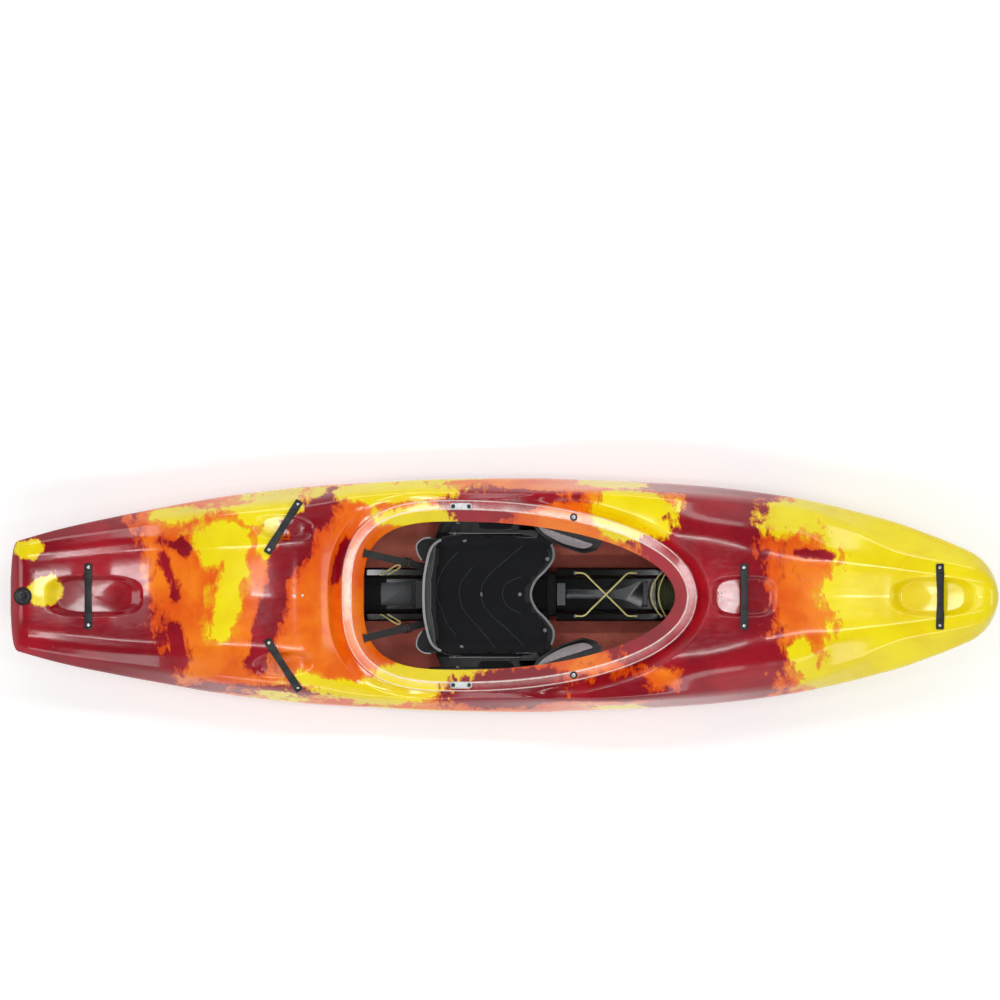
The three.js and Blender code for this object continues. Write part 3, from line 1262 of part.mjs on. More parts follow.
// Backband: its plan curve wraps round the back; heights fall away to the wings.
const planHalf = BACKBAND_PLAN_SHARES.map(([y, x]) =>
  at(BACKBAND_X + BACKBAND_WRAP * x, BACKBAND_HALF * y, 0),
);
const planCurve = new THREE.CatmullRomCurve3(
  [...planHalf.slice(1).map((p) => at(p.x, -p.y, 0)).reverse(), ...planHalf],
  false,
  "centripetal",
);
const topDrop = curveThrough(BACKBAND_TOP_SHARES);
const lowRise = curveThrough(BACKBAND_LOW_SHARES);
function backPoint(u, v, offset, margin = 0) {
  const share = Math.abs(2 * u - 1);
  const place = planCurve.getPointAt(u);
  const tangent = planCurve.getTangentAt(u);
  const low = BACKBAND_LOW + BACKBAND_LOW_RISE * lowRise(share) + margin;
  const top = BACKBAND_TOP - BACKBAND_TOP_DROP * topDrop(share) - margin;
  return at(place.x + tangent.y * offset, place.y - tangent.x * offset, lerp(low, top, v));
}
const backSlab = (inner, outer) => {
  const grid = evenGrid(BACKBAND_STEPS, 4);
  return slab(grid, (u, v) => backPoint(u, v, inner), (u, v) => backPoint(u, v, outer));
};
const footHeight = shelfTop + GAP + BACKBAND_SHELL / 2;
const foot = strap(
  [
    at(BACKBAND_X, 0, BACKBAND_LOW + OVERRUN), at(BACKBAND_X, 0, footHeight + BACKBAND_SHELL),
    at(BACKBAND_X + FOOT_ROUND, 0, footHeight + FOOT_ROUND),
    at(BACKBAND_X + BACKBAND_SHELL, 0, footHeight),
    at(BACKBAND_X + FOOT_LENGTH, 0, footHeight),
  ],
  ACROSS,
  () => 2 * FOOT_HALF,
  BACKBAND_SHELL,
);
const halfShell = BACKBAND_SHELL / 2;
add("backband_shell", backSlab(halfShell, -halfShell).add(foot), finishes.black);
const padEase = (u, v) =>
  smooth(clamp(Math.min(u, 1 - u) * 6, 0, 1)) * smooth(clamp(Math.min(v, 1 - v) * 3.4, 0, 1));
const padFace = halfShell + GAP;
const padSpan = (u) => 0.5 + (u - 0.5) * BACK_PAD_SPAN_SHARE;
add(
  "backband_pad",
  slab(
    evenGrid(18, 8),
    (u, v) =>
      backPoint(padSpan(u), v, padFace + lerp(BACK_PAD_EDGE, BACK_PAD_THICKNESS, padEase(u, v)),
        BACK_PAD_MARGIN),
    (u, v) => backPoint(padSpan(u), v, padFace, BACK_PAD_MARGIN),
  ),
  finishes.foam,
);

// Ladder straps from the backband's wings through the ratchets.
for (const side of [1, -1]) {
  const path = spread(STRAP_X[0], STRAP_X[1], 12).map((x) => at(x, side * STRAP_Y, STRAP_Z));
  const bar = strap(path, UP, () => STRAP_WIDTH, STRAP_THICKNESS).subtract(
    backSlab(halfShell + GAP, -halfShell - GAP),
  );
  const whole = bar.decompose().sort((a, b) => b.volume() - a.volume())[0];
  add(`ladder_strap_${sideName(side)}`, whole, finishes.pale);

  const wall = RATCHET_TAB_Y[0] - GAP;
  const half = RATCHET_WIDTH / 2;
  const sides = (from, to) => [side * from, side * to].sort((a, b) => a - b);
  const floor = block(RATCHET_X, sides(wall - RATCHET_WALL, wall), [STRAP_Z - half, STRAP_Z + half]);
  const cheek = (z) => block(RATCHET_X, sides(wall - RATCHET_DEPTH, wall), z);
  const pin = (radius, reach) =>
    turned(
      [[0, -reach], [radius, -reach], [radius, reach], [0, reach]],
      PIN_SIDES,
      at(PIN_X, side * PIN_Y, STRAP_Z),
    );
  const base = floor
    .add(cheek([STRAP_Z - half, STRAP_Z - half + RATCHET_WALL]))
    .add(cheek([STRAP_Z + half - RATCHET_WALL, STRAP_Z + half]))
    .add(pin(PIN_RADIUS, half - RATCHET_WALL / 2));
  add(`ratchet_base_${sideName(side)}`, base, finishes.grey);
  const inside = half - RATCHET_WALL - GAP;
  const arm = block(
    [PIN_X - LEVER_LENGTH, PIN_X],
    sides(PIN_Y - LEVER_THICKNESS / 2 - LEVER_INSET, PIN_Y + LEVER_THICKNESS / 2 - LEVER_INSET),
    [STRAP_Z - inside, STRAP_Z + inside],
  );
  const lever = arm
    .add(pin(LEVER_BARREL, inside))
    .subtract(pin(PIN_RADIUS + PIN_CLEARANCE, half));
  add(`ratchet_lever_${sideName(side)}`, lever, finishes.black);
}

// Buckles on the webbing, each with a short strap to the backband's back.
for (const { side, bend, end, across } of webbingWays) {
  const way = end.clone().sub(bend).normalize();
  const level = across.clone().normalize();
  const normal = way.clone().cross(level).normalize();
  if (normal.z < 0) normal.negate();
  const centre = bend.clone().lerp(end, BUCKLE_SHARE);
  const put = new THREE.Matrix4().makeBasis(way, level, way.clone().cross(level));
  const drop = WEBBING_THICKNESS / 2 + BUCKLE_THICKNESS / 2 + RUN;
  put.setPosition(centre.clone().addScaledVector(normal, -drop));
  const slabOf = (length, width, thickness) =>
    solidOf(new THREE.BoxGeometry(length, width, thickness));
  const inner = BUCKLE_WIDTH - 2 * BUCKLE_BAR;
  const window = (BUCKLE_LENGTH - 3 * BUCKLE_BAR) / 2;
  let buckle = slabOf(BUCKLE_LENGTH, BUCKLE_WIDTH, BUCKLE_THICKNESS);
  for (const place of [1, -1]) {
    const hole = slabOf(window, inner, BUCKLE_THICKNESS * 2);
    buckle = buckle.subtract(hole.translate([(place * (window + BUCKLE_BAR)) / 2, 0, 0]));
  }
  const fixed = put.clone();
  buckle = buckle.transform(fixed.toArray());
  const from = centre.clone().addScaledVector(normal, -drop).addScaledVector(
    way, BUCKLE_LENGTH / 2 - BUCKLE_BAR / 2);
  const tail = strap([from, from.clone().addScaledVector(way, BUCKLE_LENGTH * 2.2)], level,
    () => WEBBING_WIDTH, WEBBING_THICKNESS);
  const joined = buckle.add(tail).subtract(backSlab(BACKBAND_SHELL * 12, -halfShell - GAP));
  add(`buckle_${sideName(side)}`, joined.decompose().sort((a, b) => b.volume() - a.volume())[0],
    finishes.black);
}

// Thigh braces: sheets that hang below the coaming's flange and hook over the thighs.
const reachAt = curveThrough(BRACE_PLAN_SHARES);
const bandSlope = (BAND_DROP + FLANGE - LIP_EDGE) / BAND_WIDTH;
function bracePoint(u, v, side, reach = BRACE_REACH) {
  const x = lerp(BRACE_X[0], BRACE_X[1], u);
  const out = lerp(STEM_AT - BRACE_EDGE, -reach * reachAt(u), v);
  const { place } = coamingFrame(x, out, side);
  const tab = LIP_EDGE + 2 * GAP;
  const under = clamp((BAND_WIDTH + GROOVE - out) / (BAND_WIDTH + GROOVE), 0, 1);
  const hook = clamp(-out / BRACE_REACH, 0, 1);
  const drop = tab + under * (bandSlope * BAND_WIDTH + BRACE_CLEAR) + hook ** 2 * BRACE_HOOK;
  return at(place.x, place.y, rimHeight(coamingFrame(x, BRACE_BOLT_OUT, side).place.x) - drop);
}
for (const side of [1, -1]) {
  const rim = rimBasis(BRACE_BOLT_X, BRACE_BOLT_OUT, side);
  const post = (radius, top, bottom, sides = BOLT_SIDES) =>
    turned([[0, bottom], [radius, bottom], [radius, top], [0, top]], sides, at(0, 0, 0))
      .transform(rim.toArray());
  const reach = BRACE_TRAVEL + BOLT_SHANK + SLACK;
  const slot = solidOf(new THREE.BoxGeometry(2 * reach, 2 * (BOLT_SHANK + SLACK), 4 * BRACE_SHELL))
    .transform(rim.clone().multiply(moved(0, 0, -LIP_EDGE - BRACE_SHELL)).toArray());
  const sheet = slab(
    BRACE_GRID,
    (u, v) => bracePoint(u, v, side),
    (u, v) => bracePoint(u, v, side).addScaledVector(UP, -BRACE_SHELL),
  );
  add(`thigh_brace_${sideName(side)}`, sheet.subtract(slot), finishes.black);
  shell = shell.subtract(post(BOLT_SHANK + GAP, OVERRUN, -OVERRUN / 2));
  const nut = -LIP_EDGE - BRACE_SHELL - BRACE_NUT_ROOM;
  const bolt = post(BOLT_SHANK, BOLT_DOME, nut - NUT_HEIGHT)
    .add(post(WASHER_RADIUS, 3 * GAP + WASHER_THICKNESS, 3 * GAP, 16))
    .add(post(BOLT_HEAD, GAP + WASHER_THICKNESS + BOLT_DOME, 3 * GAP, 10))
    .add(post(NUT_RADIUS, nut, nut - NUT_HEIGHT, 6));
  add(`brace_bolt_${sideName(side)}`, bolt, finishes.steel);
  const [us, vs] = BRACE_GRID;
  const grid = [us.slice(2, -1), vs.slice(4, -1)];
  const padPoint = (u, v) =>
    bracePoint(u, v, side).addScaledVector(UP, -BRACE_SHELL - GAP);
  const pad = slab(
    grid,
    padPoint,
    (u, v) => {
      const thickness = lerp(PAD_EDGE, THIGH_PAD_THICKNESS, easeIn(grid, u, v, 6));
      return padPoint(u, v).addScaledVector(UP, -thickness);
    },
  );
  add(`thigh_pad_${sideName(side)}`, pad, finishes.foam);
}

// Footrest rails: flat bars that follow the hull's side, then step inwards.
function sideAt(x, z, grow) {
  const half = halfSection(x, grow);
  const i = clamp(half.findIndex((p) => p[1] > z), 1, half.length - 1);
  const [[y0, z0], [y1, z1]] = [half[i - 1], half[i]];
  return lerp(y0, y1, clamp((z - z0) / (z1 - z0), 0, 1));
}
for (const side of [1, -1]) {
  const low = RAIL_Z - RAIL_HEIGHT / 2;
  const near = (x) => Math.min(sideAt(x, low, -WALL), sideAt(x, RAIL_Z, -WALL));
  const foot = spread(RAIL_FOOT[0], RAIL_FOOT[1], 3).map((x) => [
    x,
    near(x) - 3 * GAP - RAIL_THICKNESS / 2,
  ]);
  const bend = [0.08, 0.5, 0.92].map((share) => [
    lerp(RAIL_FOOT[1], RAIL_RUN[0], share),
    lerp(foot[3][1], RAIL_Y, share),
  ]);
  const line = [...foot, ...bend, [RAIL_RUN[0], RAIL_Y], [RAIL_RUN[1], RAIL_Y]];
  const path = line.map(([x, y]) => at(x, side * y, RAIL_Z));
  let rail = strap(path, UP, () => RAIL_HEIGHT, RAIL_THICKNESS);
  RAIL_BOLT_X.forEach((x, i) => {
    const place = at(x, side * sideAt(x, RAIL_Z, 0), RAIL_Z);
    const ahead = at(x + SLOPE_STEP, side * sideAt(x + SLOPE_STEP, RAIL_Z, 0), RAIL_Z).sub(place);
    const higher = RAIL_Z + SLOPE_STEP;
    const above = at(x, side * sideAt(x, higher, 0), higher).sub(place);
    const out = ahead.cross(above).normalize();
    if (out.y * side < 0) out.negate();
    const post = (radius, top, bottom, sides = BOLT_SIDES) =>
      turned([[0, bottom], [radius, bottom], [radius, top], [0, top]], sides, place, out);
    const cut = post(BOLT_SHANK + GAP, OVERRUN, -OVERRUN);
    shell = shell.subtract(cut);
    rail = rail.subtract(post(BOLT_SHANK + 2 * GAP, OVERRUN, -OVERRUN));
    const nut = -WALL - RAIL_THICKNESS - RAIL_NUT_ROOM;
    const bolt = post(BOLT_SHANK, GAP, nut - NUT_HEIGHT)
      .add(post(BOLT_HEAD + HEAD_OVER, BOLT_DOME, GAP / 2 + GAP, 10))
      .add(post(BOLT_SHANK, BOLT_DOME, GAP / 2))
      .add(post(NUT_RADIUS, nut, nut - NUT_HEIGHT, 6));
    add(`rail_bolt_${sideName(side)}_${i + 1}`, bolt, finishes.steel);
  });
  add(`footrest_rail_${sideName(side)}`, rail, finishes.aluminium);
}

// Footrest: a plate with a carriage round each rail, and its foam.
const plateLine = (share, height) =>
  FOOTREST_OUTLINE_SHARES.map(([y, z]) => [
    FOOTREST_HALF * y * share,
    lerp(FOOTREST_BOTTOM, FOOTREST_TOP, 0.5 + (z - 0.5) * height),
  ]);
const bothSides = (points) => [
  ...points,
  ...points.slice(1, -1).reverse().map(([y, z]) => [-y, z]),
];
const plate = extruded(bothSides(plateLine(1, 1)), [FOOTREST_X, FOOTREST_X + FOOTREST_THICKNESS]);
let footrest = plate;
const carriageX = [
  FOOTREST_X + FOOTREST_THICKNESS - CARRIAGE_LENGTH / 2,
  FOOTREST_X + FOOTREST_THICKNESS + CARRIAGE_LENGTH / 2,
];
for (const side of [1, -1]) {
  const sides = (from, to) => [side * from, side * to].sort((a, b) => a - b);
  const half = RAIL_HEIGHT / 2 + GAP;
  const gap = RAIL_THICKNESS / 2 + GAP;
  const carriage = block(
    carriageX,
    sides(RAIL_Y - gap - CARRIAGE_WALL, RAIL_Y + gap + CARRIAGE_WALL),
    [RAIL_Z - half - CARRIAGE_WALL, RAIL_Z + half + CARRIAGE_WALL],
  ).subtract(
    block(
      [carriageX[0] - OVERRUN, carriageX[1] + OVERRUN],
      sides(RAIL_Y - gap, RAIL_Y + gap),
      [RAIL_Z - half, RAIL_Z + half],
    ),
  );
  const link = block(
    [FOOTREST_X, FOOTREST_X + FOOTREST_THICKNESS],
    sides(FOOTREST_HALF - CARRIAGE_WALL, RAIL_Y - gap - BITE),
    [RAIL_Z - half, RAIL_Z + half],
  );
  footrest = footrest.add(carriage).add(link);
}
add("footrest_plate", footrest, finishes.black);
add(
  "footrest_pad",
  extruded(bothSides(plateLine(FOOT_PAD_SHARE, FOOT_PAD_SHARE)), [
    FOOTREST_X - GAP - FOOT_PAD_THICKNESS,
    FOOTREST_X - GAP,
  ]),
  finishes.foam,
);

// Foam walls, cut to the space inside the shell.
const foamRoom = room.subtract(hollows(WALL + GAP)).subtract(moat(WALL + GAP));
for (const [name, reach] of [["bow_pillar", BOW_PILLAR], ["stern_pillar", STERN_PILLAR]]) {
  const half = PILLAR_THICKNESS / 2;
  add(name, block(reach, [-half, half], [0, HEIGHT]).intersect(foamRoom), finishes.foam);
}

add("hull_shell", shell.simplify(SIMPLER), finishes.hull);

export default nodes;
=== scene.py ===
"""A whitewater kayak's looks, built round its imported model: a marbled polyethylene shell with its
cockpit, grab handles, drain plug, padded seat, backband, thigh braces, gear trays and cords.

Lengths are in millimetres and turned to metres where a mesh is made. +X points to the bow, +Y to
port and +Z up, and the origin is on the ground under the middle of the hull.
"""
from math import pi, radians

import bmesh
import bpy
import numpy as np
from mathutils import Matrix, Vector
from mathutils.bvhtree import BVHTree
from mathutils.kdtree import KDTree
from numpy import array, clip, concatenate, cos, exp, linspace, maximum, minimum, sin, sqrt, stack


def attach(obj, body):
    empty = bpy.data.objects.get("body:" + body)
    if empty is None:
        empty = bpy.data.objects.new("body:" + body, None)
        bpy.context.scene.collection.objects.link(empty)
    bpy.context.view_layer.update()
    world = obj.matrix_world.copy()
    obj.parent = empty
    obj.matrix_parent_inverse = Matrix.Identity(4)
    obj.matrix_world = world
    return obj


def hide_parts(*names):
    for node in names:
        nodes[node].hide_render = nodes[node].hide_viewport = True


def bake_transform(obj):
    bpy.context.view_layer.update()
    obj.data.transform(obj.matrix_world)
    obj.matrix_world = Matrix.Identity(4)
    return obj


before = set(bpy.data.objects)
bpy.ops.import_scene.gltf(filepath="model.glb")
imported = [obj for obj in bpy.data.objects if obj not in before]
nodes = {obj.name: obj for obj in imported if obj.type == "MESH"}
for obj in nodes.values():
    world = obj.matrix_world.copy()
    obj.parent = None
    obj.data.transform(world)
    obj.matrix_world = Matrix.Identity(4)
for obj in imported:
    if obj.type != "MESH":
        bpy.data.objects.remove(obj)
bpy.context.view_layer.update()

MM = 0.001
SIDES = (("port", 1), ("starboard", -1))
X, Y, Z = np.eye(3)

# Hull: overall sizes, and its lines as rows of [station from the stern, share of the size], both
# in thousandths
LENGTH = 2700
BEAM = 648
HEIGHT = 434
WALL = 6
KEEL_LINE = [
    [0, 733], [40, 618], [100, 472], [160, 342], [220, 235], [280, 157], [340, 93], [400, 44],
    [450, 16], [485, 0], [627, 0], [660, 10], [700, 32], [750, 81], [800, 151], [850, 253],
    [900, 402], [940, 550], [970, 702], [1000, 825],
]
DECK_LINE = [
    [0, 795], [18, 829], [35, 825], [60, 812], [110, 762], [140, 760], [180, 794], [220, 828],
    [255, 843], [285, 832], [310, 778], [335, 690], [360, 631], [400, 622], [450, 634], [505, 682],
    [560, 775], [620, 850], [680, 914], [705, 942], [730, 940], [770, 912], [810, 888], [850, 880],
    [885, 880], [920, 914], [950, 964], [975, 1000], [1000, 1008],
]
BEAM_LINE = [
    [0, 450], [50, 571], [100, 666], [150, 750], [200, 827], [250, 885], [300, 928], [360, 957],
    [430, 988], [530, 1000], [580, 986], [640, 966], [700, 935], [750, 892], [800, 831],
    [850, 747], [900, 637], [940, 511], [970, 420], [1000, 410],
]
RIM_LINE = [
    [336, 690], [360, 668], [380, 648], [400, 641], [455, 672], [505, 717], [545, 758], [586, 800],
    [627, 843], [660, 885], [680, 915], [700, 937],
]
# Corners of a cross section from the bottom to the deck: how much of each neighbouring side the
# round takes, then shares of the half beam and of the depth along the hull, in thousandths too
CORNERS = [
    (0.34,
     [[0, 450], [140, 420], [270, 500], [400, 580], [485, 600], [627, 580], [700, 460], [800, 400],
      [910, 320], [1000, 300]],
     [[0, 20], [140, 20], [270, 12], [400, 4], [485, 0], [627, 0], [700, 8], [800, 20],
      [1000, 30]]),
    (0.36,
     [[0, 720], [140, 700], [270, 740], [360, 770], [620, 760], [700, 720], [800, 680], [910, 580],
      [1000, 580]],
     [[0, 100], [140, 85], [270, 90], [350, 155], [380, 143], [430, 100], [530, 80], [620, 75],
      [700, 90], [800, 110], [1000, 110]]),
    (0.2,
     [[0, 900], [140, 900], [270, 920], [470, 926], [620, 925], [700, 915], [800, 880], [910, 820],
      [1000, 820]],
     [[0, 320], [140, 260], [270, 250], [340, 310], [420, 360], [485, 340], [545, 300], [610, 285],
      [770, 235], [860, 270], [910, 300], [1000, 240]]),
    (0.3,
     [[0, 1017], [1000, 1017]],
     [[0, 560], [60, 570], [100, 510], [140, 460], [180, 410], [220, 400], [280, 440], [350, 620],
      [400, 675], [450, 680], [505, 640], [560, 567], [620, 527], [700, 515], [770, 550],
      [830, 535], [870, 555], [910, 600], [950, 530], [1000, 360]]),
    (0.24,
     [[0, 880], [140, 850], [220, 860], [300, 870], [360, 910], [420, 915], [470, 895], [530, 885],
      [620, 910], [700, 900], [800, 900], [856, 780], [910, 580], [950, 620], [1000, 700]],
     [[0, 800], [140, 800], [220, 830], [280, 840], [360, 930], [470, 940], [580, 965], [620, 950],
      [660, 900], [700, 830], [800, 760], [856, 830], [910, 920], [1000, 850]]),
    (0.28,
     [[0, 720], [140, 660], [220, 620], [300, 640], [360, 800], [580, 800], [620, 740], [700, 700],
      [800, 660], [840, 500], [910, 450], [1000, 500]],
     [[0, 920], [140, 940], [220, 930], [280, 940], [360, 985], [580, 990], [620, 985], [700, 930],
      [800, 915], [840, 960], [1000, 950]]),
    (0.3,
     [[0, 500], [140, 500], [220, 480], [300, 460], [360, 500], [600, 500], [660, 520], [700, 530],
      [760, 440], [830, 355], [930, 350], [1000, 330]],
     [[0, 985], [140, 990], [280, 985], [360, 1000], [600, 1000], [660, 990], [700, 975],
      [760, 980], [830, 990], [1000, 990]]),
]
# Each end closes as a superellipse in plan and from the side, [reach, power], towards its tip
STERN_END = [22, 2.8], [34, 2.2]
BOW_END = [120, 2], [42, 2]
STERN_TIP = 330
BOW_TIP = 402
TIP_FLAT = 0.5
CAVITY_STERN = 30
CAVITY_BOW = 24

# Fineness of the hull's two skins: points on each corner's round, steps on each straight between
# them, and the spacing of the stations
SKIN = 7, [7, 5, 5, 6, 6, 6, 8, 10], 8.5
LINER = 4, [3, 2, 3, 3, 3, 3, 3, 3], 20

# Cockpit opening, coaming and the moat round it, counted outwards from the opening's edge and
# down from the rim
COCKPIT_X = -125
OPENING_FRONT = 593
OPENING_REAR = 259
OPENING_HALF = 203
REAR_POWER = 3.1
COAMING_WIDTH = 60
BAND_WIDTH = 34
BAND_DROP = 26
FLANGE = 7
LIP_EDGE = 9
GROOVE = 1.5
STEM_AT = 50
STEM = 5.5
MOAT_DEPTH = 22
MOAT_FLOOR = 60
MOAT_CREST = 95
MOAT_SOFTNESS = 0.1
COAMING_TURNS = 256

# Hollows under the handles: [x, y, half length, half width, power, turn, depth, floor share, rise]
HOLLOWS = [
    [-1122, 0, 136, 59, 3.2, 0, 24, 0.72, 0.09], [1172, 0, 118, 56, 3, 0, 26, 0.7, 0.02],
    [656, 0, 92, 58, 3.4, 0, 15, 0.78, 0], [-603, 190, 88, 40, 2.4, -0.12, 16, 0.6, 0],
    [-603, -190, 88, 40, 2.4, 0.12, 16, 0.6, 0],
]


def curve_through(rows):
    """A smooth curve through rows of [place, value], in thousandths, that never runs past them: a
    cubic between neighbours, with slopes from the harmonic mean of the two sides."""
    places, values = array(rows, float).T / 1000
    slope = np.diff(values) / np.diff(places)
    before, after = np.append(slope[:1], slope), np.append(slope, slope[-1:])
    same = before * after > 0
    tangent = np.where(same, 2 * before * after / np.where(same, before + after, 1), 0)

    def value_at(place):
        x = clip(place, places[0], places[-1])
        i = clip(np.searchsorted(places, x) - 1, 0, len(places) - 2)
        span = places[i + 1] - places[i]
        t = (x - places[i]) / span
        leave = (t**3 - 2 * t * t + t) * span * tangent[i]
        arrive = (t**3 - t * t) * span * tangent[i + 1]
        return mix(values[i], values[i + 1], t * t * (3 - 2 * t)) + leave + arrive

    return value_at


def mix(a, b, share):
    return a + (b - a) * share


def ease(share):
    """Smoothstep: 0 below 0, 1 above 1, level at both ends."""
    s = clip(share, 0, 1)
    return s * s * (3 - 2 * s)


def quarter(share, least=0.0):
    """A quarter circle's height over a share of its width."""
    return sqrt(clip(1 - (1 - clip(share, 0, 1)) ** 2, least, 1))


def unit(v):
    """Vectors at a length of 1."""
    return v / np.linalg.norm(v, axis=-1, keepdims=True)


def run_of(path):
    """The distance along a path at each of its places."""
    return np.append(0, np.cumsum(np.linalg.norm(np.diff(path, axis=0), axis=1)))


def grid(*spans):
    """Arrays over a grid, whose rows and columns each run over a (first, last, count)."""
    return np.meshgrid(*(linspace(*span) for span in spans), indexing="ij")


keel_at, deck_at, beam_at, rim_at = map(curve_through, (KEEL_LINE, DECK_LINE, BEAM_LINE, RIM_LINE))
corner_curves = [(bend, curve_through(w), curve_through(d)) for bend, w, d in CORNERS]


def rim_height(x):
    return HEIGHT * rim_at(x / LENGTH + 0.5)


def end_share(distance, reach, power):
    """What is left of the full size near an end that closes as a superellipse."""
    away = 1 - clip(maximum(distance, TIP_FLAT) / reach, 0, 1)
    return (1 - away**power) ** (1 / power)


def half_section(x, grow=0.0, rounds=SKIN[0], straights=None):
    """Cross sections at stations x as an array (stations, points, 2) of y and z from keel to deck.
    Corners are quadratic curves that leave each side at a share of its length, and straights
    between them are cut into equal steps."""
    share, stern, bow = clip(x / LENGTH + 0.5, 0, 1), x + LENGTH / 2, LENGTH / 2 - x
    plan, side = (end_share(stern, *a) * end_share(bow, *b) for a, b in zip(STERN_END, BOW_END))
    tip = np.where(stern < bow, STERN_TIP, BOW_TIP)
    keel, deck = (mix(tip, HEIGHT * line(share), side) for line in (keel_at, deck_at))
    half = BEAM / 2 * beam_at(share) * plan
    widths = [0 * x, *(half * width(share) for _, width, _ in corner_curves), 0 * x]
    heights = [keel, *(mix(keel, deck, depth(share)) for *_, depth in corner_curves), deck]
    line = [stack(corner, -1)[:, None] for corner in zip(widths, heights)]
    t = linspace(0, 1, rounds)[None, :, None]
    arcs = [corner + (before - corner) * bend * (1 - t) ** 2 + (after - corner) * bend * t**2
            for (bend, *_), before, corner, after in zip(corner_curves, line, line[1:], line[2:])]
    parts = [line[0]]
    for i, arc in enumerate([*arcs, line[-1]]):
        if straights:
            start = parts[-1][:, -1:]
            steps = np.arange(1, straights[i])[None, :, None] / straights[i]
            parts.append(start + (arc[:, :1] - start) * steps)
        parts.append(arc)
    points = concatenate(parts, 1)
    middle = ((keel + deck) / 2)[:, None]
    wider, deeper = (1 + grow / half)[:, None], (1 + 2 * grow / (deck - keel))[:, None]
    return stack([points[..., 0] * wider, middle + (points[..., 1] - middle) * deeper], -1)


def deck_height(x, y, order=-1):
    """The plain deck's height over places x, y: where each section, counted down from the deck,
    first passes y. With order 1 it is counted up from the keel, for the bottom's height."""
    x, y = np.broadcast_arrays(array(x, float), array(y, float))
    sections, y = half_section(x.ravel())[:, ::order], abs(y.ravel())
    past = sections[..., 0] > y[:, None]
    i = clip(np.where(past.any(1), past.argmax(1), sections.shape[1] - 1), 1, None)
    (y0, z0), (y1, z1) = (sections[np.arange(len(y)), k].T for k in (i - 1, i))
    height = mix(z0, z1, clip((y - y0) / np.where(y1 == y0, 1, y1 - y0), 0, 1))
    return height.reshape(x.shape)


# --- meshes ---


def mesh_of(points, around=False, along=False, caps=False):
    """Quads over a (rows, columns, 3) array of millimetres. Around joins the last column to the
    first, along joins the last row to the first, and caps closes the first and last rows. A closed
    mesh is turned to face outwards."""
    rows, columns = points.shape[:2]
    index = np.arange(rows * columns).reshape(rows, columns)
    ends = [index[0, ::-1].tolist(), index[-1].tolist()] if caps else []
    if around:
        index = concatenate([index, index[:, :1]], 1)
    if along:
        index = concatenate([index, index[:1]], 0)
    quads = stack([index[:-1, :-1], index[:-1, 1:], index[1:, 1:], index[1:, :-1]], -1)
    quads = quads.reshape(-1, 4)
    mesh = bpy.data.meshes.new("shape")
    flat = points.reshape(-1, 3) * MM
    mesh.from_pydata(flat.tolist(), [], quads.tolist() + ends)
    a, b, c, d = (flat[corner] for corner in quads.T)
    volume = (np.cross(a, b) * c).sum() + (np.cross(a, c) * d).sum()
    if (around and along or caps) and volume < 0:
        mesh.flip_normals()
    mesh.shade_smooth()
    return mesh


def read(rows, field):
    """A vector field of a mesh's rows as an array."""
    flat = np.zeros(len(rows) * 3)
    rows.foreach_get(field, flat)
    return flat.reshape(-1, 3)


def points_of(mesh):
    """A mesh's places in metres."""
    return read(mesh.vertices, "co")


def joined(meshes):
    """Several meshes as one, with their material numbers kept."""
    starts = np.cumsum([0] + [len(m.vertices) for m in meshes])
    faces = [[v + start for v in p.vertices]
             for m, start in zip(meshes, starts) for p in m.polygons]
    mesh = bpy.data.meshes.new("shapes")
    mesh.from_pydata(concatenate([points_of(m) for m in meshes]).tolist(), [], faces)
    for field in ("use_smooth", "material_index"):
        mesh.polygons.foreach_set(field, [getattr(p, field) for m in meshes for p in m.polygons])
    return mesh


def placed(name, data):
    """A new object in the scene."""
    made = bpy.data.objects.new(name, data)
    bpy.context.scene.collection.objects.link(made)
    return made


def piece(name, mesh, material, body, node=None, sharp=None):
    """An object for a mesh in place, riding on a body, with its material or materials, and the node
    that it stands for. Edges sharper than the angle in degrees keep a crease."""
    mesh.name = name
    made = placed(name, mesh)
    materials = material if isinstance(material, list) else [material]
    kinds = [min(p.material_index, len(materials) - 1) for p in mesh.polygons]
    mesh.materials.clear()
    for one in materials:
        mesh.materials.append(one)
    mesh.polygons.foreach_set("material_index", kinds)
    if sharp:
        mesh.set_sharp_from_angle(angle=radians(sharp))
    if body:
        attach(made, body)
    if node:
        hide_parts(node)
    return made


def baked(holder):
    """A new mesh of an object as its modifiers leave it. They are then taken off."""
    graph = bpy.context.evaluated_depsgraph_get()
    mesh = bpy.data.meshes.new_from_object(holder.evaluated_get(graph))
    holder.modifiers.clear()
    return mesh


def carved(base, less=(), plus=()):
    """A mesh after boolean steps: tools cut from it, then tools joined to it."""
    holder = placed("carving", base)
    for operation, tools in (("DIFFERENCE", less), ("UNION", plus)):
        for tool in tools:
            cutter = placed("tool", tool)
            change = holder.modifiers.new("cut", "BOOLEAN")
            change.solver, change.operation, change.object = "MANIFOLD", operation, cutter
            holder.data = baked(holder)
            bpy.data.objects.remove(cutter)
    mesh = holder.data
    bpy.data.objects.remove(holder)
    return mesh


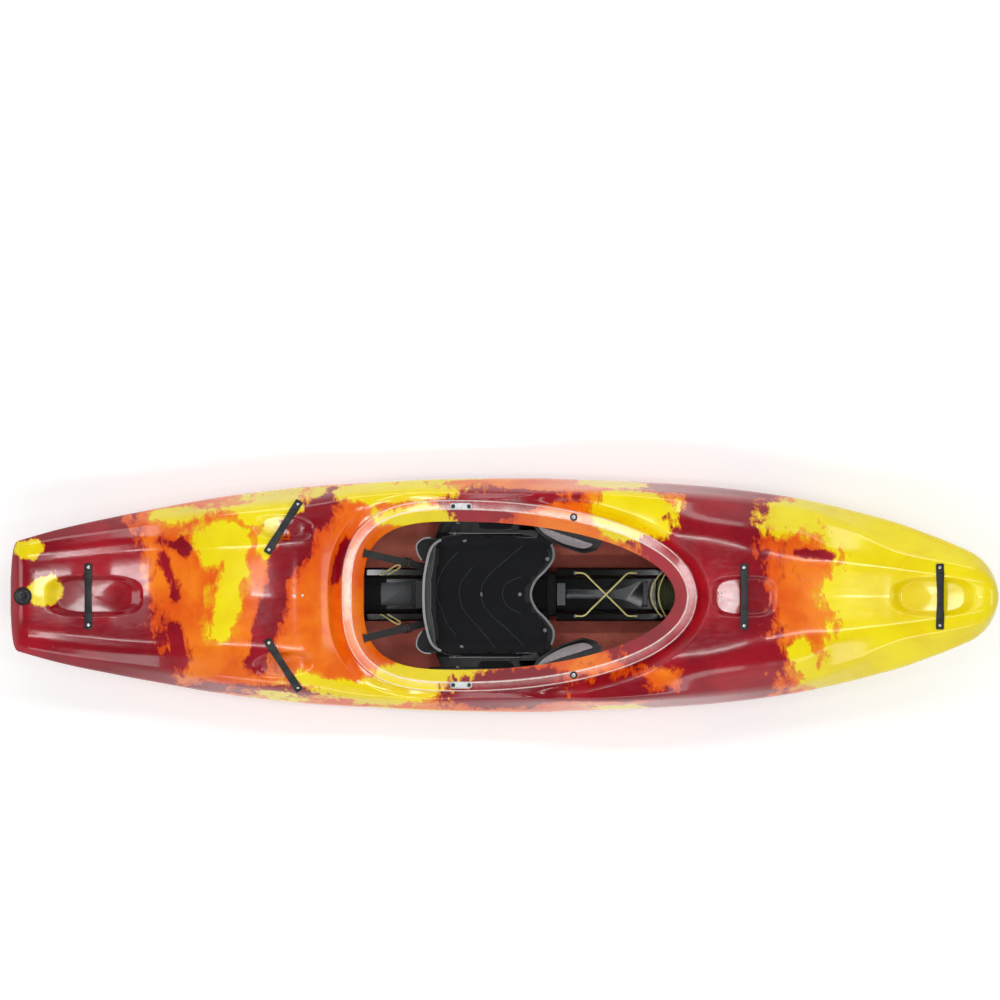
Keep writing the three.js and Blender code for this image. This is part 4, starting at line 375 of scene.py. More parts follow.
def hull_skin(from_stern, from_bow, grow, rounds, straights, spacing):
    """A closed skin lofted through whole cross sections, port side then starboard, whose stations
    stand closer where the ends curve: the spacing grows from each tip by a sine."""
    first, last = from_stern - LENGTH / 2, LENGTH / 2 - from_bow
    near, far = first + 60, last - 170
    x = concatenate([first + 60 * (1 - cos(linspace(0, pi / 2, 14)[:-1])),
                     linspace(near, far, int((far - near) / spacing)),
                     last - 170 * (1 - cos(linspace(pi / 2, 0, 26)[1:]))])
    half = half_section(x, grow, rounds, straights)
    ring = concatenate([half, half[:, -2:0:-1] * [-1, 1]], 1)
    x = np.broadcast_to(x[:, None, None], ring.shape[:2] + (1,))
    return mesh_of(concatenate([x, ring], -1), around=True, caps=True)


def superellipse(angle, power):
    """The unit superellipse's two coordinates at turn angles."""
    return [np.sign(w) * abs(w) ** (2 / power) for w in (cos(angle), sin(angle))]


def coaming_place(angle, out):
    """Places on the cockpit's edge by turn angle, moved outwards along the edge's own normal."""
    angle, out = np.broadcast_arrays(angle, out)
    forward = cos(angle) >= 0
    reach = np.where(forward, OPENING_FRONT, OPENING_REAR)
    power = np.where(forward, 2, REAR_POWER)
    along, side = superellipse(angle, power)
    nx, ny = (np.sign(w) * abs(w) ** (power - 1) / size
              for w, size in ((along, reach), (side, OPENING_HALF)))
    size = np.hypot(nx, ny)
    return COCKPIT_X + reach * along + out * nx / size, OPENING_HALF * side + out * ny / size


def even_turns(count):
    """Turn angles that are evenly spaced along the cockpit's edge, by inverting its arc length."""
    fine = linspace(0, 2 * pi, 8001)
    run = run_of(stack(coaming_place(fine, 0), -1))
    return np.interp(np.arange(count) / count * run[-1], run, fine)


def edge_turn(x):
    """The cockpit edge's turn angle at a station."""
    front = np.arccos(clip((x - COCKPIT_X) / OPENING_FRONT, 0, 1))
    rear = clip((COCKPIT_X - x) / OPENING_REAR, 0, 1) ** (REAR_POWER / 2)
    return np.where(x >= COCKPIT_X, front, pi - np.arccos(rear))


def rounded(corners, steps=5):
    """A closed outline with each corner [a, b, trim] turned by a quadratic curve that starts a trim
    away on both sides."""
    points, trims = array(corners, float)[:, :2], array(corners, float)[:, 2:]
    before, after = (unit(np.roll(points, k, 0) - points) * trims for k in (1, -1))
    t = linspace(0, 1, steps)[None, :, None]
    curve = points[:, None] + before[:, None] * (1 - t) ** 2 + after[:, None] * t**2
    return curve.reshape(-1, 2)


def moat_tool(grow, turns):
    """What is cut round the coaming: a level floor under the lip that rises as a parabola to a
    soft crest on the deck."""
    w = concatenate([linspace(0, 0.85, 9), linspace(0.9, 1.22, 12)])
    bowl = (1 - w * w + sqrt((1 - w * w) ** 2 + MOAT_SOFTNESS**2)) / 2
    out = np.append(20, mix(MOAT_FLOOR, MOAT_CREST, w) + grow)
    bowl = np.append(1, bowl / bowl[0])
    x, y = coaming_place(turns[:, None], out[None])
    floor, deck = rim_height(x) - MOAT_DEPTH, deck_height(x, y)
    z = deck - (deck - floor) * bowl - grow + 0.35 * ease((out - 80) / 20)
    z = np.where((deck > floor) | (grow > 0), z, maximum(z, deck + 0.5))
    surface = stack([x, y, z], -1)
    lid = surface[:, [-1, 0]].copy()
    lid[..., 2] = 2 * HEIGHT
    return mesh_of(concatenate([surface, lid], 1), around=True, along=True)


def hollow_tool(grow, cx, cy, half_length, half_width, power, turn, depth, floor_share, rise):
    """What is cut for a hollow: outlines are superellipses, and the wall eases from the deck's own
    height at the rim to a level floor."""
    shares = concatenate([[0.02, 0.4], mix(floor_share, 1, linspace(0, 1, 14))])
    size = np.append(shares, np.ones(3))[:, None]
    beyond = (np.append(0 * shares, [2.5, 6, 6]) + grow)[:, None]
    along, side = superellipse(np.arange(112) / 112 * 2 * pi, power)
    u = along * (half_length * size + beyond * size)
    v = side * (half_width * size + beyond * size)
    x, y = cx + u * cos(turn) - v * sin(turn), cy + u * sin(turn) + v * cos(turn)
    level = mix(deck_height(cx, cy), deck_height(cx + u, np.full_like(u, cy)), 0.8)
    deck = deck_height(x, y)
    lift = np.append(0 * shares, [0.4, 1.2, 2 * HEIGHT])[:, None]
    z = mix(deck, minimum(level - depth + rise * u, deck), ease((1 - size) / (1 - floor_share)))
    return mesh_of(stack([x, y, z - grow + lift], -1), around=True, caps=True)


# --- materials ---

WAYS = {"Math": "operation", "VectorMath": "operation", "MapRange": "interpolation_type",
        "Mix": "data_type"}
SOCKETS = {"Noise": ("Scale", "Detail", "Roughness", "Distortion"),
           "Voronoi": ("Scale", "Randomness"), "Wave": ("Scale", "Distortion", "Detail")}


def linear(code):
    """An sRGB hex colour as a linear RGBA tuple."""
    shares = [int(code[i:i + 2], 16) / 255 for i in (0, 2, 4)]
    return *(s / 12.92 if s <= 0.04045 else ((s + 0.055) / 1.055) ** 2.4 for s in shares), 1


def add(tree, kind, inputs=(), out=0, **settings):
    """One shader node with its settings; a word after its kind says which way it works. Each input
    is a socket that feeds it, a hex colour or a plain value. Returns one of its outputs."""
    kind, _, way = kind.partition(" ")
    made = tree.nodes.new("ShaderNode" + kind)
    if way:
        settings[WAYS[kind]] = way
    for name, value in settings.items():
        setattr(made, name, value)
    for socket, value in inputs.items() if isinstance(inputs, dict) else enumerate(inputs):
        if isinstance(value, bpy.types.NodeSocket):
            tree.links.new(value, made.inputs[socket])
        else:
            value = linear(value) if isinstance(value, str) else value
            made.inputs[socket].default_value = value
    return made.outputs[out] if made.outputs else made


def texture(tree, kind, *values, squeeze=(1, 1, 1), turn=0.0, shift=0.0):
    """A texture on object coordinates in metres, squeezed along the axes, turned about the upright
    one, and shifted for another draw. Its values go to the sockets that SOCKETS names."""
    place = add(tree, "Mapping", {"Vector": add(tree, "TexCoord", out="Object"), "Scale": squeeze,
                                  "Rotation": (0, 0, turn)})
    if shift:
        place = add(tree, "VectorMath ADD", [place, (shift, -shift, 2 * shift)])
    return add(tree, "Tex" + kind, {"Vector": place, **dict(zip(SOCKETS[kind], values))},
               "Distance" if kind == "Voronoi" else "Fac")


def tinted(tree, base, pattern, low, high, most, colour):
    """A colour with another laid over it, up to a share, as a pattern eases from one level to
    another."""
    if high:
        pattern = add(tree, "MapRange SMOOTHSTEP", [pattern, low, high])
    if most < 1:
        pattern = add(tree, "Math MULTIPLY", [pattern, most])
    return add(tree, "Mix RGBA", {0: pattern, 6: base, 7: colour}, 2)


def new_material(name, code, roughness, metallic=0.0, **values):
    """A plain material. Other sockets go by their names with underscores for spaces."""
    material = bpy.data.materials.new(name)
    material.use_nodes = True
    values.update(Base_Color=linear(code), Roughness=roughness, Metallic=metallic)
    for socket, value in values.items():
        shader = material.node_tree.nodes["Principled BSDF"]
        shader.inputs[socket.replace("_", " ")].default_value = value
    return material


def dressed(material, colour, tints=(), gloss=None, relief=None):
    """A material with tints laid over its colour in turn, its roughness from a socket, and relief
    of a pattern times a depth in millimetres."""
    tree = material.node_tree
    shader = tree.nodes["Principled BSDF"].inputs
    for tint in tints:
        colour = tinted(tree, colour, *tint)
    if not isinstance(colour, str):
        tree.links.new(colour, shader["Base Color"])
    if gloss:
        tree.links.new(gloss, shader["Roughness"])
    if relief:
        bump = add(tree, "Bump", {"Height": relief[0], "Distance": relief[1] * MM,
                                  "Strength": 1.0})
        tree.links.new(bump, shader["Normal"])
    return material


def marbled_polyethylene():
    """Rotomoulded polyethylene, its colours thrown into the mould as powder by hand: they meet in
    torn, flecked edges, and the polished mould leaves a gloss with a faint orange peel."""
    material = new_material("marbled polyethylene", "E86A12", 0.2, IOR=1.5, Coat_Weight=0.3,
                            Coat_Roughness=0.05)
    tree = material.node_tree
    slant = {"squeeze": (1.0, 0.55, 0.8), "turn": 0.5}
    # Throws are 60 to 150 mm across, their torn edges 10 to 25 mm, and single grains 3 to 6 mm
    fields = []
    for name, draw in (("yellow_share", 3.1), ("crimson_share", 7.7)):
        field = add(tree, "Attribute", out="Fac", attribute_name=name)
        for *form, shift, gain in ((7.5, 6, 0.62, 0.7, 0, 2.3), (34, 7, 0.68, 0.4, 1, 2.2)):
            torn = texture(tree, "Noise", *form, shift=draw + shift, **slant)
            field = add(tree, "Math ADD", [field, add(tree, "Math MULTIPLY_ADD",
                                                      [torn, gain, -gain / 2])])
        fields.append(field)
    yellow, crimson = (
        add(tree, "Math SUBTRACT", [field, add(tree, "Math MAXIMUM", [other, 0.0])])
        for field, other in (fields, fields[::-1]))
    drift = texture(tree, "Noise", 5, 4, 0.6, 0.3, shift=12.0)
    grain = texture(tree, "Noise", 190, 4, 0.7)
    bright = tinted(tree, "F0D400", drift, 0.3, 0.7, 1, "FCE80C")
    deep = tinted(tree, "86061A", drift, 0.35, 0.7, 1, "AE1024")
    # A dark seam of mixed powder runs along crimson's edge, broken by the grain
    away = add(tree, "Math ABSOLUTE", [add(tree, "Math SUBTRACT", [crimson, 0.03])])
    seam = add(tree, "Math SUBTRACT", [1.0, add(tree, "MapRange SMOOTHSTEP", [away, 0.0, 0.1])])
    gaps = texture(tree, "Noise", 60, 4, 0.7, 0.5, shift=5.0, **slant)
    broken = add(tree, "Math MULTIPLY", [seam, add(tree, "MapRange SMOOTHSTEP", [gaps, 0.5, 0.7])])
    # Pale lines along the coaming's two edges are painted highlights, broken up by noise
    uneven = add(tree, "MapRange SMOOTHSTEP",
                 [texture(tree, "Noise", 70, 4, 0.6), 0.2, 0.6, 0.45, 0.85])
    painted_highlight = add(tree, "Math MULTIPLY", [
        add(tree, "Attribute", out="Fac", attribute_name="painted_highlight_share"), uneven])
    # Orange lies under all. Where yellow thins out over it, it turns amber, and where crimson does,
    # a burnt red
    return dressed(
        material, "E8590A",
        [(drift, 0.35, 0.65, 1, "FB8412"), (yellow, -0.42, -0.05, 1, "F2A60C"),
         (yellow, -0.06, 0.05, 1, bright), (crimson, -0.4, -0.02, 0.75, "C22A10"),
         (crimson, -0.07, 0.07, 1, deep), (broken, 0, 0, 0.65, "5A1210"),
         # the last tint lays the painted highlight lines along the coaming's edges
         (grain, 0.6, 0.78, 0.1, "3A0A08"), (painted_highlight, 0, 0, 1, "FBEDE6")],
        add(tree, "MapRange SMOOTHSTEP",
            [texture(tree, "Noise", 120, 5, 0.7, squeeze=(0.25, 1, 1)), 0.3, 0.8, 0.12, 0.26]),
        [texture(tree, "Noise", 55, 2, 0.4), 0.12])


def plain_polyethylene():
    """The shell's inner face, where the powder has run together: a matt brownish red with a soft
    orange-peel relief and paler blushes."""
    material = new_material("matt inner polyethylene", "9C4438", 0.62)
    blush, speck, peel = (texture(material.node_tree, "Noise", *form)
                          for form in ((6, 5, 0.6, 0.4), (240, 3, 0.6), (130, 3, 0.5)))
    tints = [(blush, 0.35, 0.7, 1, "DA745C"), (speck, 0.45, 0.75, 0.35, "8C3830")]
    return dressed(material, "C05646", tints, relief=[peel, 0.5])


def moulded_plastic(name, code, roughness=0.5, grain_mm=1.6, relief_mm=0.05, dust="3A3B3C",
                    spread=1.0, **values):
    """Injection-moulded plastic: a fine spark-eroded grain, drawn a little coarser than the real
    0.3 mm so that it shows, and faint pale scuffs."""
    material = new_material(name, code, roughness, **values)
    tree = material.node_tree
    grain = texture(tree, "Noise", 1 / (grain_mm * MM), 3, 0.6)
    scuff = texture(tree, "Noise", 70, 6, 0.7, 0.3, squeeze=(0.3, 1, 1))
    gloss = add(tree, "MapRange LINEAR", [grain, 0.3, 0.7, roughness - 0.08 * spread,
                                          roughness + 0.1 * spread])
    return dressed(material, code, [(scuff, 0.58, 0.8, 0.4, dust)], gloss, [grain, relief_mm])


def stainless(name, code="C9CBCC", roughness=0.28):
    """Stainless steel, tumbled: bright with fine random scratches."""
    material = new_material(name, code, roughness, 1.0)
    tree = material.node_tree
    scratch = texture(tree, "Noise", 240, 4, 0.7, squeeze=(1, 9, 3), turn=0.6)
    gloss = add(tree, "MapRange SMOOTHSTEP",
                [scratch, 0.3, 0.75, roughness - 0.08, roughness + 0.14])
    return dressed(material, code, (), gloss, [scratch, 0.02])


def knit_fabric(name, code, second, cell_mm=2.4, relief_mm=0.35):
    """Stretch fabric over foam: a small net of knitted cells, drawn at about twice its real
    1.2 mm pitch so that it shows, with a soft sheen and faint lint."""
    material = new_material(name, code, 0.86, Sheen_Weight=0.25, Sheen_Roughness=0.5)
    tree = material.node_tree
    cells = texture(tree, "Voronoi", 1 / (cell_mm * MM), 0.35)
    lint = texture(tree, "Noise", 26, 6, 0.7, 0.5)
    tints = [(lint, 0.45, 0.8, 0.5, second), (cells, 0.25, 0.6, 0.5, "050506")]
    relief = [add(tree, "Math MULTIPLY", [cells, -1.0]), relief_mm]
    return dressed(material, code, tints, relief=relief)


def woven(name, code, second, scale, turns, flecks, distortion=0.6, detail=1.0, roughness=0.78,
          sheen=0.15):
    """Woven or braided yarn: its ribs or diamonds are two crossed waves at the weave's pitch, with
    flecks of dust or of another yarn."""
    material = new_material(name, code, roughness, Sheen_Weight=sheen)
    tree = material.node_tree
    weave = add(tree, "Math MULTIPLY", [
        texture(tree, "Wave", scale, distortion, detail, turn=turn) for turn in turns])
    form, low, high, most, colour = flecks
    dust = (texture(tree, "Noise", *form), low, high, most, colour)
    return dressed(material, code, [(weave, 0, 0, 1, second), dust], relief=[weave, 0.3])


def woven_webbing(name, code, second, pitch_mm=2.0):
    """Flat nylon webbing: a herringbone of ribs, with dust."""
    return woven(name, code, second, 1 / (pitch_mm * MM) / 6.3, (0.6, -0.6),
                 [(40, 5, 0.7), 0.5, 0.8, 0.3, "55565A"])


def cut_foam():
    """Closed-cell polyethylene foam, sawn from a block: cells of 1 to 3 mm, drawn from 2 mm."""
    material = new_material("sawn polyethylene foam", "33363A", 0.92)
    cells = texture(material.node_tree, "Voronoi", 420.0)
    return dressed(material, "3C3F44", [(cells, 0.1, 0.6, 1, "26282B")], relief=[cells, 0.5])


hull_plastic = marbled_polyethylene()
inner_plastic = plain_polyethylene()
black_plastic = moulded_plastic("black ABS", "0D0E10", 0.4, dust="24262A")
handle_plastic = moulded_plastic("handle polyurethane", "17181A", 0.4, 2.2, 0.06)
grey_plastic = moulded_plastic("grey acetal", "86898D", 0.45, dust="A5A8AB")
pale_plastic = moulded_plastic("grey polyurethane", "5E5F64", 0.45, dust="8A8B90")
dark_plastic = moulded_plastic("glossy dark ABS", "24282E", 0.2, 3.0, 0.03)
satin_plastic = moulded_plastic("satin grey polystyrene", "3E4246", 0.3, 2.4, 0.04, "5C6064")
matt_plastic = moulded_plastic("textured black ABS", "070708", 0.5, dust="101114",
                               Specular_IOR_Level=0.15)
tray_plastic = moulded_plastic("vacuum-formed black ABS", "060709", 0.085, 3.0, 0.004, "0E0F12",
                               0.25)
steel = stainless("tumbled stainless steel")
white_metal = stainless("white zinc", "E6E4DE", 0.3)
plate_metal = stainless("grey zinc", "D2D4D2", 0.42)
dark_steel = stainless("blackened steel", "4A4C4E", 0.38)
aluminium = stainless("anodised aluminium", "A9ADB0", 0.36)
# Nitrile rubber: matt, with a fine sanded skin
rubber = new_material("nitrile rubber", "141414", 0.72)
dressed(rubber, "141414", relief=[texture(rubber.node_tree, "Noise", 500, 3, 0.5), 0.08])
seat_fabric = knit_fabric("black stretch knit", "0A0E16", "171D2A")
pad_fabric = knit_fabric("charcoal stretch knit", "101216", "23262C", 2.0)
pale_fabric = knit_fabric("pale grey coated knit", "A9A1A4", "D5CFD0", 2.0, 0.2)
piping_fabric = woven_webbing("grey bound edge", "8A8B90", "B4B5B9", 1.6)
thread = woven_webbing("slate polyester thread", "39414F", "4C5566", 1.2)
webbing_fabric = woven_webbing("black nylon webbing", "1A1B1C", "343636")
sleeve_fabric = woven_webbing("olive ribbed knit", "33371F", "6B7048", 3.4)
cord_fabric = woven("yellow braided shock cord", "FFF294", "F7F0B0", 90.0, (0.2, 1.77),
                    [(330, 2, 0.5), 0.58, 0.66, 0.7, "B8AE50"], 0.4, 2.0, 0.7, 0.2)
foam = cut_foam()


# --- hull ---

# Where the colours were thrown, each [x, y, half length, half width, strength] as seen from above,
# and streaks of them, each [x, y, x, y, half width, strength] between two places
YELLOW_ABOVE = [
    [-1258, 8, 66, 52, 3.4], [-1296, 128, 56, 44, 3.0], [-762, 150, 82, 62, 1.3],
    [-1190, -90, 80, 60, 0.5], [-330, 285, 210, 30, 1.5], [-330, -262, 240, 34, 1.4],
    [345, 232, 115, 62, 1.8], [430, 180, 70, 50, 1.2], [-225, 215, 130, 30, 1.6],
    [330, 178, 75, 26, 1.7], [-195, -218, 140, 26, 1.6], [775, 220, 95, 50, 0.2],
    [905, 0, 45, 45, 0.6],
]
YELLOW_STREAKS = [
    [-950, 222, -570, 262, 18, 0.5], [-700, 215, -570, 235, 26, 1.1],
    [-730, 130, -772, -95, 30, 1.0], [-660, 120, -620, 240, 22, 0.9],
    [-560, -222, -440, -255, 13, 1.6], [800, -150, 870, -240, 26, 0.8],
]
CRIMSON_ABOVE = [
    [-560, 205, 62, 32, 1.2], [-700, -270, 180, 26, 1.2], [-70, 235, 80, 55, 1.6],
    [60, 262, 160, 40, 1.1], [30, -262, 170, 62, 1.7], [-60, 212, 55, 30, 1.8],
    [330, -265, 260, 60, 0.8], [560, 0, 150, 330, 1.6], [545, 120, 170, 190, 1.4],
    [600, -200, 150, 150, 1.3], [440, -110, 130, 130, 1.3], [80, -225, 170, 24, 0.9],
]
CRIMSON_STREAKS = [
    [-676, -175, -634, -20, 30, 1.2], [-634, -20, -590, 100, 26, 1.1],
    [-590, 100, -520, 225, 30, 1.3], [-520, 225, -470, 300, 30, 1.2],
    [-930, 150, -860, 130, 16, 0.5], [-900, -90, -885, -180, 20, 0.9],
    [-930, 110, -900, 0, 14, 0.5], [-470, 40, -430, 150, 9, 0.4], [800, 120, 900, 110, 9, 0.5],
]
ORANGE_ABOVE = [[430, -225, 90, 60, 0.5], [140, 225, 150, 40, 0.9], [470, 260, 90, 50, 0.6],
                [-1250, 40, 60, 60, 0.5]]
# The same for the sides, as [x, z, half length, half height, strength]
YELLOW_BESIDE = [[-215, 200, 165, 62, 1.7], [-640, 250, 110, 50, 0.9], [330, 250, 120, 50, 1.3]]
CRIMSON_BESIDE = [
    [-1180, 300, 260, 70, 1.7], [-140, 70, 220, 72, 1.6], [150, 35, 330, 50, 1.4],
    [560, 240, 210, 90, 1.2], [690, 130, 170, 90, 1.4], [-850, 90, 260, 40, 0.8],
]
# Lines of painted highlight along the coaming's edges, each [outwards from the opening's edge, down
# from the rim]
PAINTED_HIGHLIGHT_EDGES = [[59, 1.2], [35.5, 0.4]]


def deepest(away, strength, fall):
    """How deep a place lies in the nearest throw or streak: its strength in the middle, 0 on its
    edge and falling on outside. Away is 1 on the edge."""
    return ((1 - away) * np.where(away < 1, strength, fall)).max(0)


def thrown(throws, a, b):
    """The depth in throws, which are ellipses."""
    x, y, wide, high, strength = array(throws, float).T[..., None]
    return deepest(np.hypot((a - x) / wide, (b - y) / high), strength, 1.2)


def streaked(streaks, a, b):
    """The depth in streaks, by the distance to the line between their two places."""
    x, y, far_x, far_y, half, strength = array(streaks, float).T[..., None]
    dx, dy = far_x - x, far_y - y
    along = clip(((a - x) * dx + (b - y) * dy) / (dx**2 + dy**2), 0, 1)
    return deepest(np.hypot(a - x - along * dx, b - y - along * dy) / half, strength, 0.5)


def nearest(places, points):
    """The distance from each point to the nearest of some places."""
    tree = KDTree(len(places))
    for i, place in enumerate(places):
        tree.insert(place, i)
    tree.balance()
    return array([tree.find(point)[2] for point in points])


def paint_fields(mesh):
    """Adds the shares of yellow and crimson to each place of the shell, from above where it faces
    up and from the side elsewhere, and the share of painted highlight along the coaming's edges."""
    places = points_of(mesh) / MM
    x, y, z = places.T
    upward = ease((read(mesh.vertices, "normal")[:, 2] - 0.15) / 0.35)
    # Yellow fills the bow, and crimson the stern and the deck in front of the cockpit
    bow = minimum((x - 905 + 0.28 * (abs(y) - 60)) / 95, 1.3)
    stern = minimum((-968 - x - 0.35 * y) / 110, 0.95)
    front = minimum(minimum((x - 470) / 60, (668 + 0.25 * y - x) / 85), 1.1)
    low_orange = ease((215 - z) / 60) * ease((-560 - x) / 120)
    yellow = np.max([thrown(YELLOW_ABOVE, x, y), bow, streaked(YELLOW_STREAKS, x, y)], 0)
    crimson = np.max([thrown(CRIMSON_ABOVE, x, y), stern, front,
                      streaked(CRIMSON_STREAKS, x, y)], 0)
    crimson -= 1.6 * maximum(thrown(ORANGE_ABOVE, x, y), 0)
    edges = []
    for out, fall in PAINTED_HIGHLIGHT_EDGES:
        edge_x, edge_y = coaming_place(even_turns(2400), out)
        edges.append(stack([edge_x, edge_y, rim_height(edge_x) - fall], -1))
    # Painted highlight: pale lines along the coaming's outer lip and its groove
    around = (x > -460) & (x < 600)
    painted_highlight = 0 * x
    painted_highlight[around] = ease(1.6 - nearest(concatenate(edges), places[around]) / 1.9)
    beside_yellow = maximum(thrown(YELLOW_BESIDE, x, z), bow)
    beside_crimson = maximum(thrown(CRIMSON_BESIDE, x, z), stern - 2.2 * low_orange)
    for name, share in (("yellow_share", clip(mix(beside_yellow, yellow, upward), -1.6, 2.2)),
                        ("crimson_share", clip(mix(beside_crimson, crimson, upward), -1.6, 2.2)),
                        ("painted_highlight_share", painted_highlight)):
        attribute = mesh.attributes.new(name, "FLOAT", "POINT")
        attribute.data.foreach_set("value", share.astype(np.float32))


def rim_frame(x, out, side):
    """The rim's frame over a station: its place and unit vectors along it, to port and up."""
    angle = edge_turn(x)
    (x0, x1), (y0, y1) = coaming_place(array([angle, angle - 0.001]), out)
    z0, z1 = rim_height(array([x0, x1]))
    along = unit(array([x1 - x0, side * (y1 - y0), z1 - z0]))
    across = unit(np.cross(Z, along))
    return array([x0, side * y0, z0]), along, across, np.cross(along, across)


def turned(profile, place, up=Z, sides=32, bumps=None, loop=False):
    """A turned form: [radius, height] rows about an axis through a place. A row of zero radius
    closes an end, and a loop joins its last row to its first. Bumps changes the radius by turn
    angle and height."""
    profile, up = array(profile, float), unit(array(up, float))
    angle = np.arange(sides) / sides * 2 * pi
    radius, height = profile[:, :1] + 0 * angle, profile[:, 1:]
    if bumps:
        radius = radius + bumps(angle, height) * (radius > 0)
    u = unit(np.cross(up, X if abs(up[0]) < 0.9 else Y))
    ring = cos(angle)[:, None] * u + sin(angle)[:, None] * np.cross(up, u)
    points = place + maximum(radius, 0.02)[..., None] * ring + height[..., None] * up
    return mesh_of(points, around=True, along=loop, caps=not loop)


def prism(outline, levels, place, basis=(X, Y, Z)):
    """A flat outline of [a, b] carried through [height, inset share] levels on a basis."""
    outline, (along, across, up) = array(outline, float), basis
    flat = outline[:, :1] * along + outline[:, 1:] * across
    rows = [place + share * flat + height * up for height, share in levels]
    return mesh_of(array(rows), around=True, caps=True)


def stadium(length, width, steps=10):
    """A slot outline of a whole length and width about its middle."""
    a = linspace(-pi / 2, pi / 2, steps)
    ends = stack([cos(a), sin(a)], -1) * width / 2
    reach = [length / 2 - width / 2, 0]
    return concatenate([ends + reach, -ends - reach])


DRAIN = [-1314, 0]
BOSS_TOP = 358
DRAIN_BOSS = 26
DRAIN_BORE = 14
ANCHOR = [-116, 42.5]
ANCHOR_LENGTH = 62
ANCHOR_WIDTH = 19
WEBBING_SLOT_Y = 112
WEBBING_SLOT_OUT = 14
FAR = 2 * HEIGHT


def webbing_way(side):
    """Where a backband's webbing leaves the coaming, where it ends behind the backband, and unit
    vectors ahead and across from one to the other, seen from above."""
    share = WEBBING_SLOT_Y / OPENING_HALF
    x = COCKPIT_X - OPENING_REAR * (1 - share**REAR_POWER) ** (1 / REAR_POWER)
    place = rim_frame(x, WEBBING_SLOT_OUT, side)[0]
    place[2] -= BAND_DROP * (1 - WEBBING_SLOT_OUT / BAND_WIDTH)
    end = array([-214, side * 78, 204])
    ahead = unit((end - place) * [1, 1, 0])
    return place, end, ahead, np.cross(Z, ahead)


def coaming_ring(turns):
    """The coaming: a band that slopes into the cockpit, a groove, and a rolled lip on a stem that
    flares into the moat's floor."""
    stem_end, lip_end, groove = STEM_AT + STEM, COAMING_WIDTH, BAND_WIDTH + GROOVE
    upper = rounded([
        [0, -BAND_DROP, 2.6], [BAND_WIDTH, 0, 3.4], [groove, -GROOVE, 0.8],
        [groove + GROOVE, 0, 0.9], [lip_end, 0.2, 4.2], [lip_end - 0.6, -LIP_EDGE, 2.4],
        [stem_end, -LIP_EDGE, 2.2], [stem_end, -16, 0.5]], 6)
    flare = [[stem_end, 9], [57.4, 3.6], [61, 0.9], [66, -0.8], [66, -3], [STEM_AT, -3]]
    lower = rounded([[STEM_AT, -16, 0.5], [STEM_AT, -LIP_EDGE, 2], [BAND_WIDTH, -FLANGE - 2, 3],
                     [1.5, -BAND_DROP - FLANGE, 2.6]], 5)
    out, lift = concatenate([upper, flare, lower]).T
    x, y = coaming_place(turns[:, None], out)
    rim = rim_height(x)
    on_moat = (np.arange(len(out)) >= len(upper)) & (np.arange(len(out)) < len(out) - len(lower))
    level = np.where(on_moat, minimum(deck_height(x, y), rim - MOAT_DEPTH), rim)
    return mesh_of(stack([x, y, level + lift], -1), around=True, along=True)


def make_hull():
    """The moulded shell: an outer skin less its hollows and moat, less the room inside, with the
    cockpit cut out, the coaming and drain boss joined on, and the fittings' seats cut last."""
    turns = even_turns(COAMING_TURNS)

    def disc(radius, low, high):
        rows = [[0, low], [radius, low], [radius, high], [0, high]]
        return turned(rows, [*DRAIN, BOSS_TOP], sides=64)

    def dents(grow, turns):
        return [hollow_tool(grow, *hollow) for hollow in HOLLOWS] + [moat_tool(grow, turns)]

    room = carved(hull_skin(CAVITY_STERN, CAVITY_BOW, -WALL, *LINER), dents(WALL, turns[::2]))
    room.materials.clear()
    room.polygons.foreach_set("material_index", [1] * len(room.polygons))
    x, y = coaming_place(turns[::2], STEM_AT + STEM / 2)
    cockpit = mesh_of(stack([stack([x, y, 0 * x + z], -1) for z in (170, 170 + FAR)]),
                      around=True, caps=True)
    shell = carved(hull_skin(0, 0, 0, *SKIN), dents(0, turns), [disc(DRAIN_BOSS, -22, 0)])
    shell = carved(shell, [room, cockpit], [coaming_ring(turns)])
    seat = [[0, 0], [DRAIN_BOSS - 1, 0], [DRAIN_BOSS - 0.4, 0.6], [DRAIN_BOSS + 0.6, 3],
            [DRAIN_BOSS + 6, 40], [0, 40]]
    tools = [disc(DRAIN_BORE, -60, 60), turned(seat, [*DRAIN, BOSS_TOP], sides=64)]
    for _, side in SIDES:
        place, *basis = rim_frame(*ANCHOR, side)
        start, _, ahead, over = webbing_way(side)
        tools += [prism(stadium(ANCHOR_LENGTH + 0.8, ANCHOR_WIDTH + 0.8),
                        [[-GROOVE, 1], [FAR / 8, 1]], place, basis),
                  prism(stadium(27, 6), [[-FAR / 9, 1], [FAR / 9, 1]], start, (over, -ahead, Z))]
    shell = carved(shell, tools)
    paint_fields(shell)
    hull = piece("moulded_shell", shell, [hull_plastic, inner_plastic], "hull",
                 "hull_shell", sharp=38)
    hull.modifiers.new("even shading", "WEIGHTED_NORMAL").keep_sharp = True


make_hull()


# --- shapes for the fittings ---


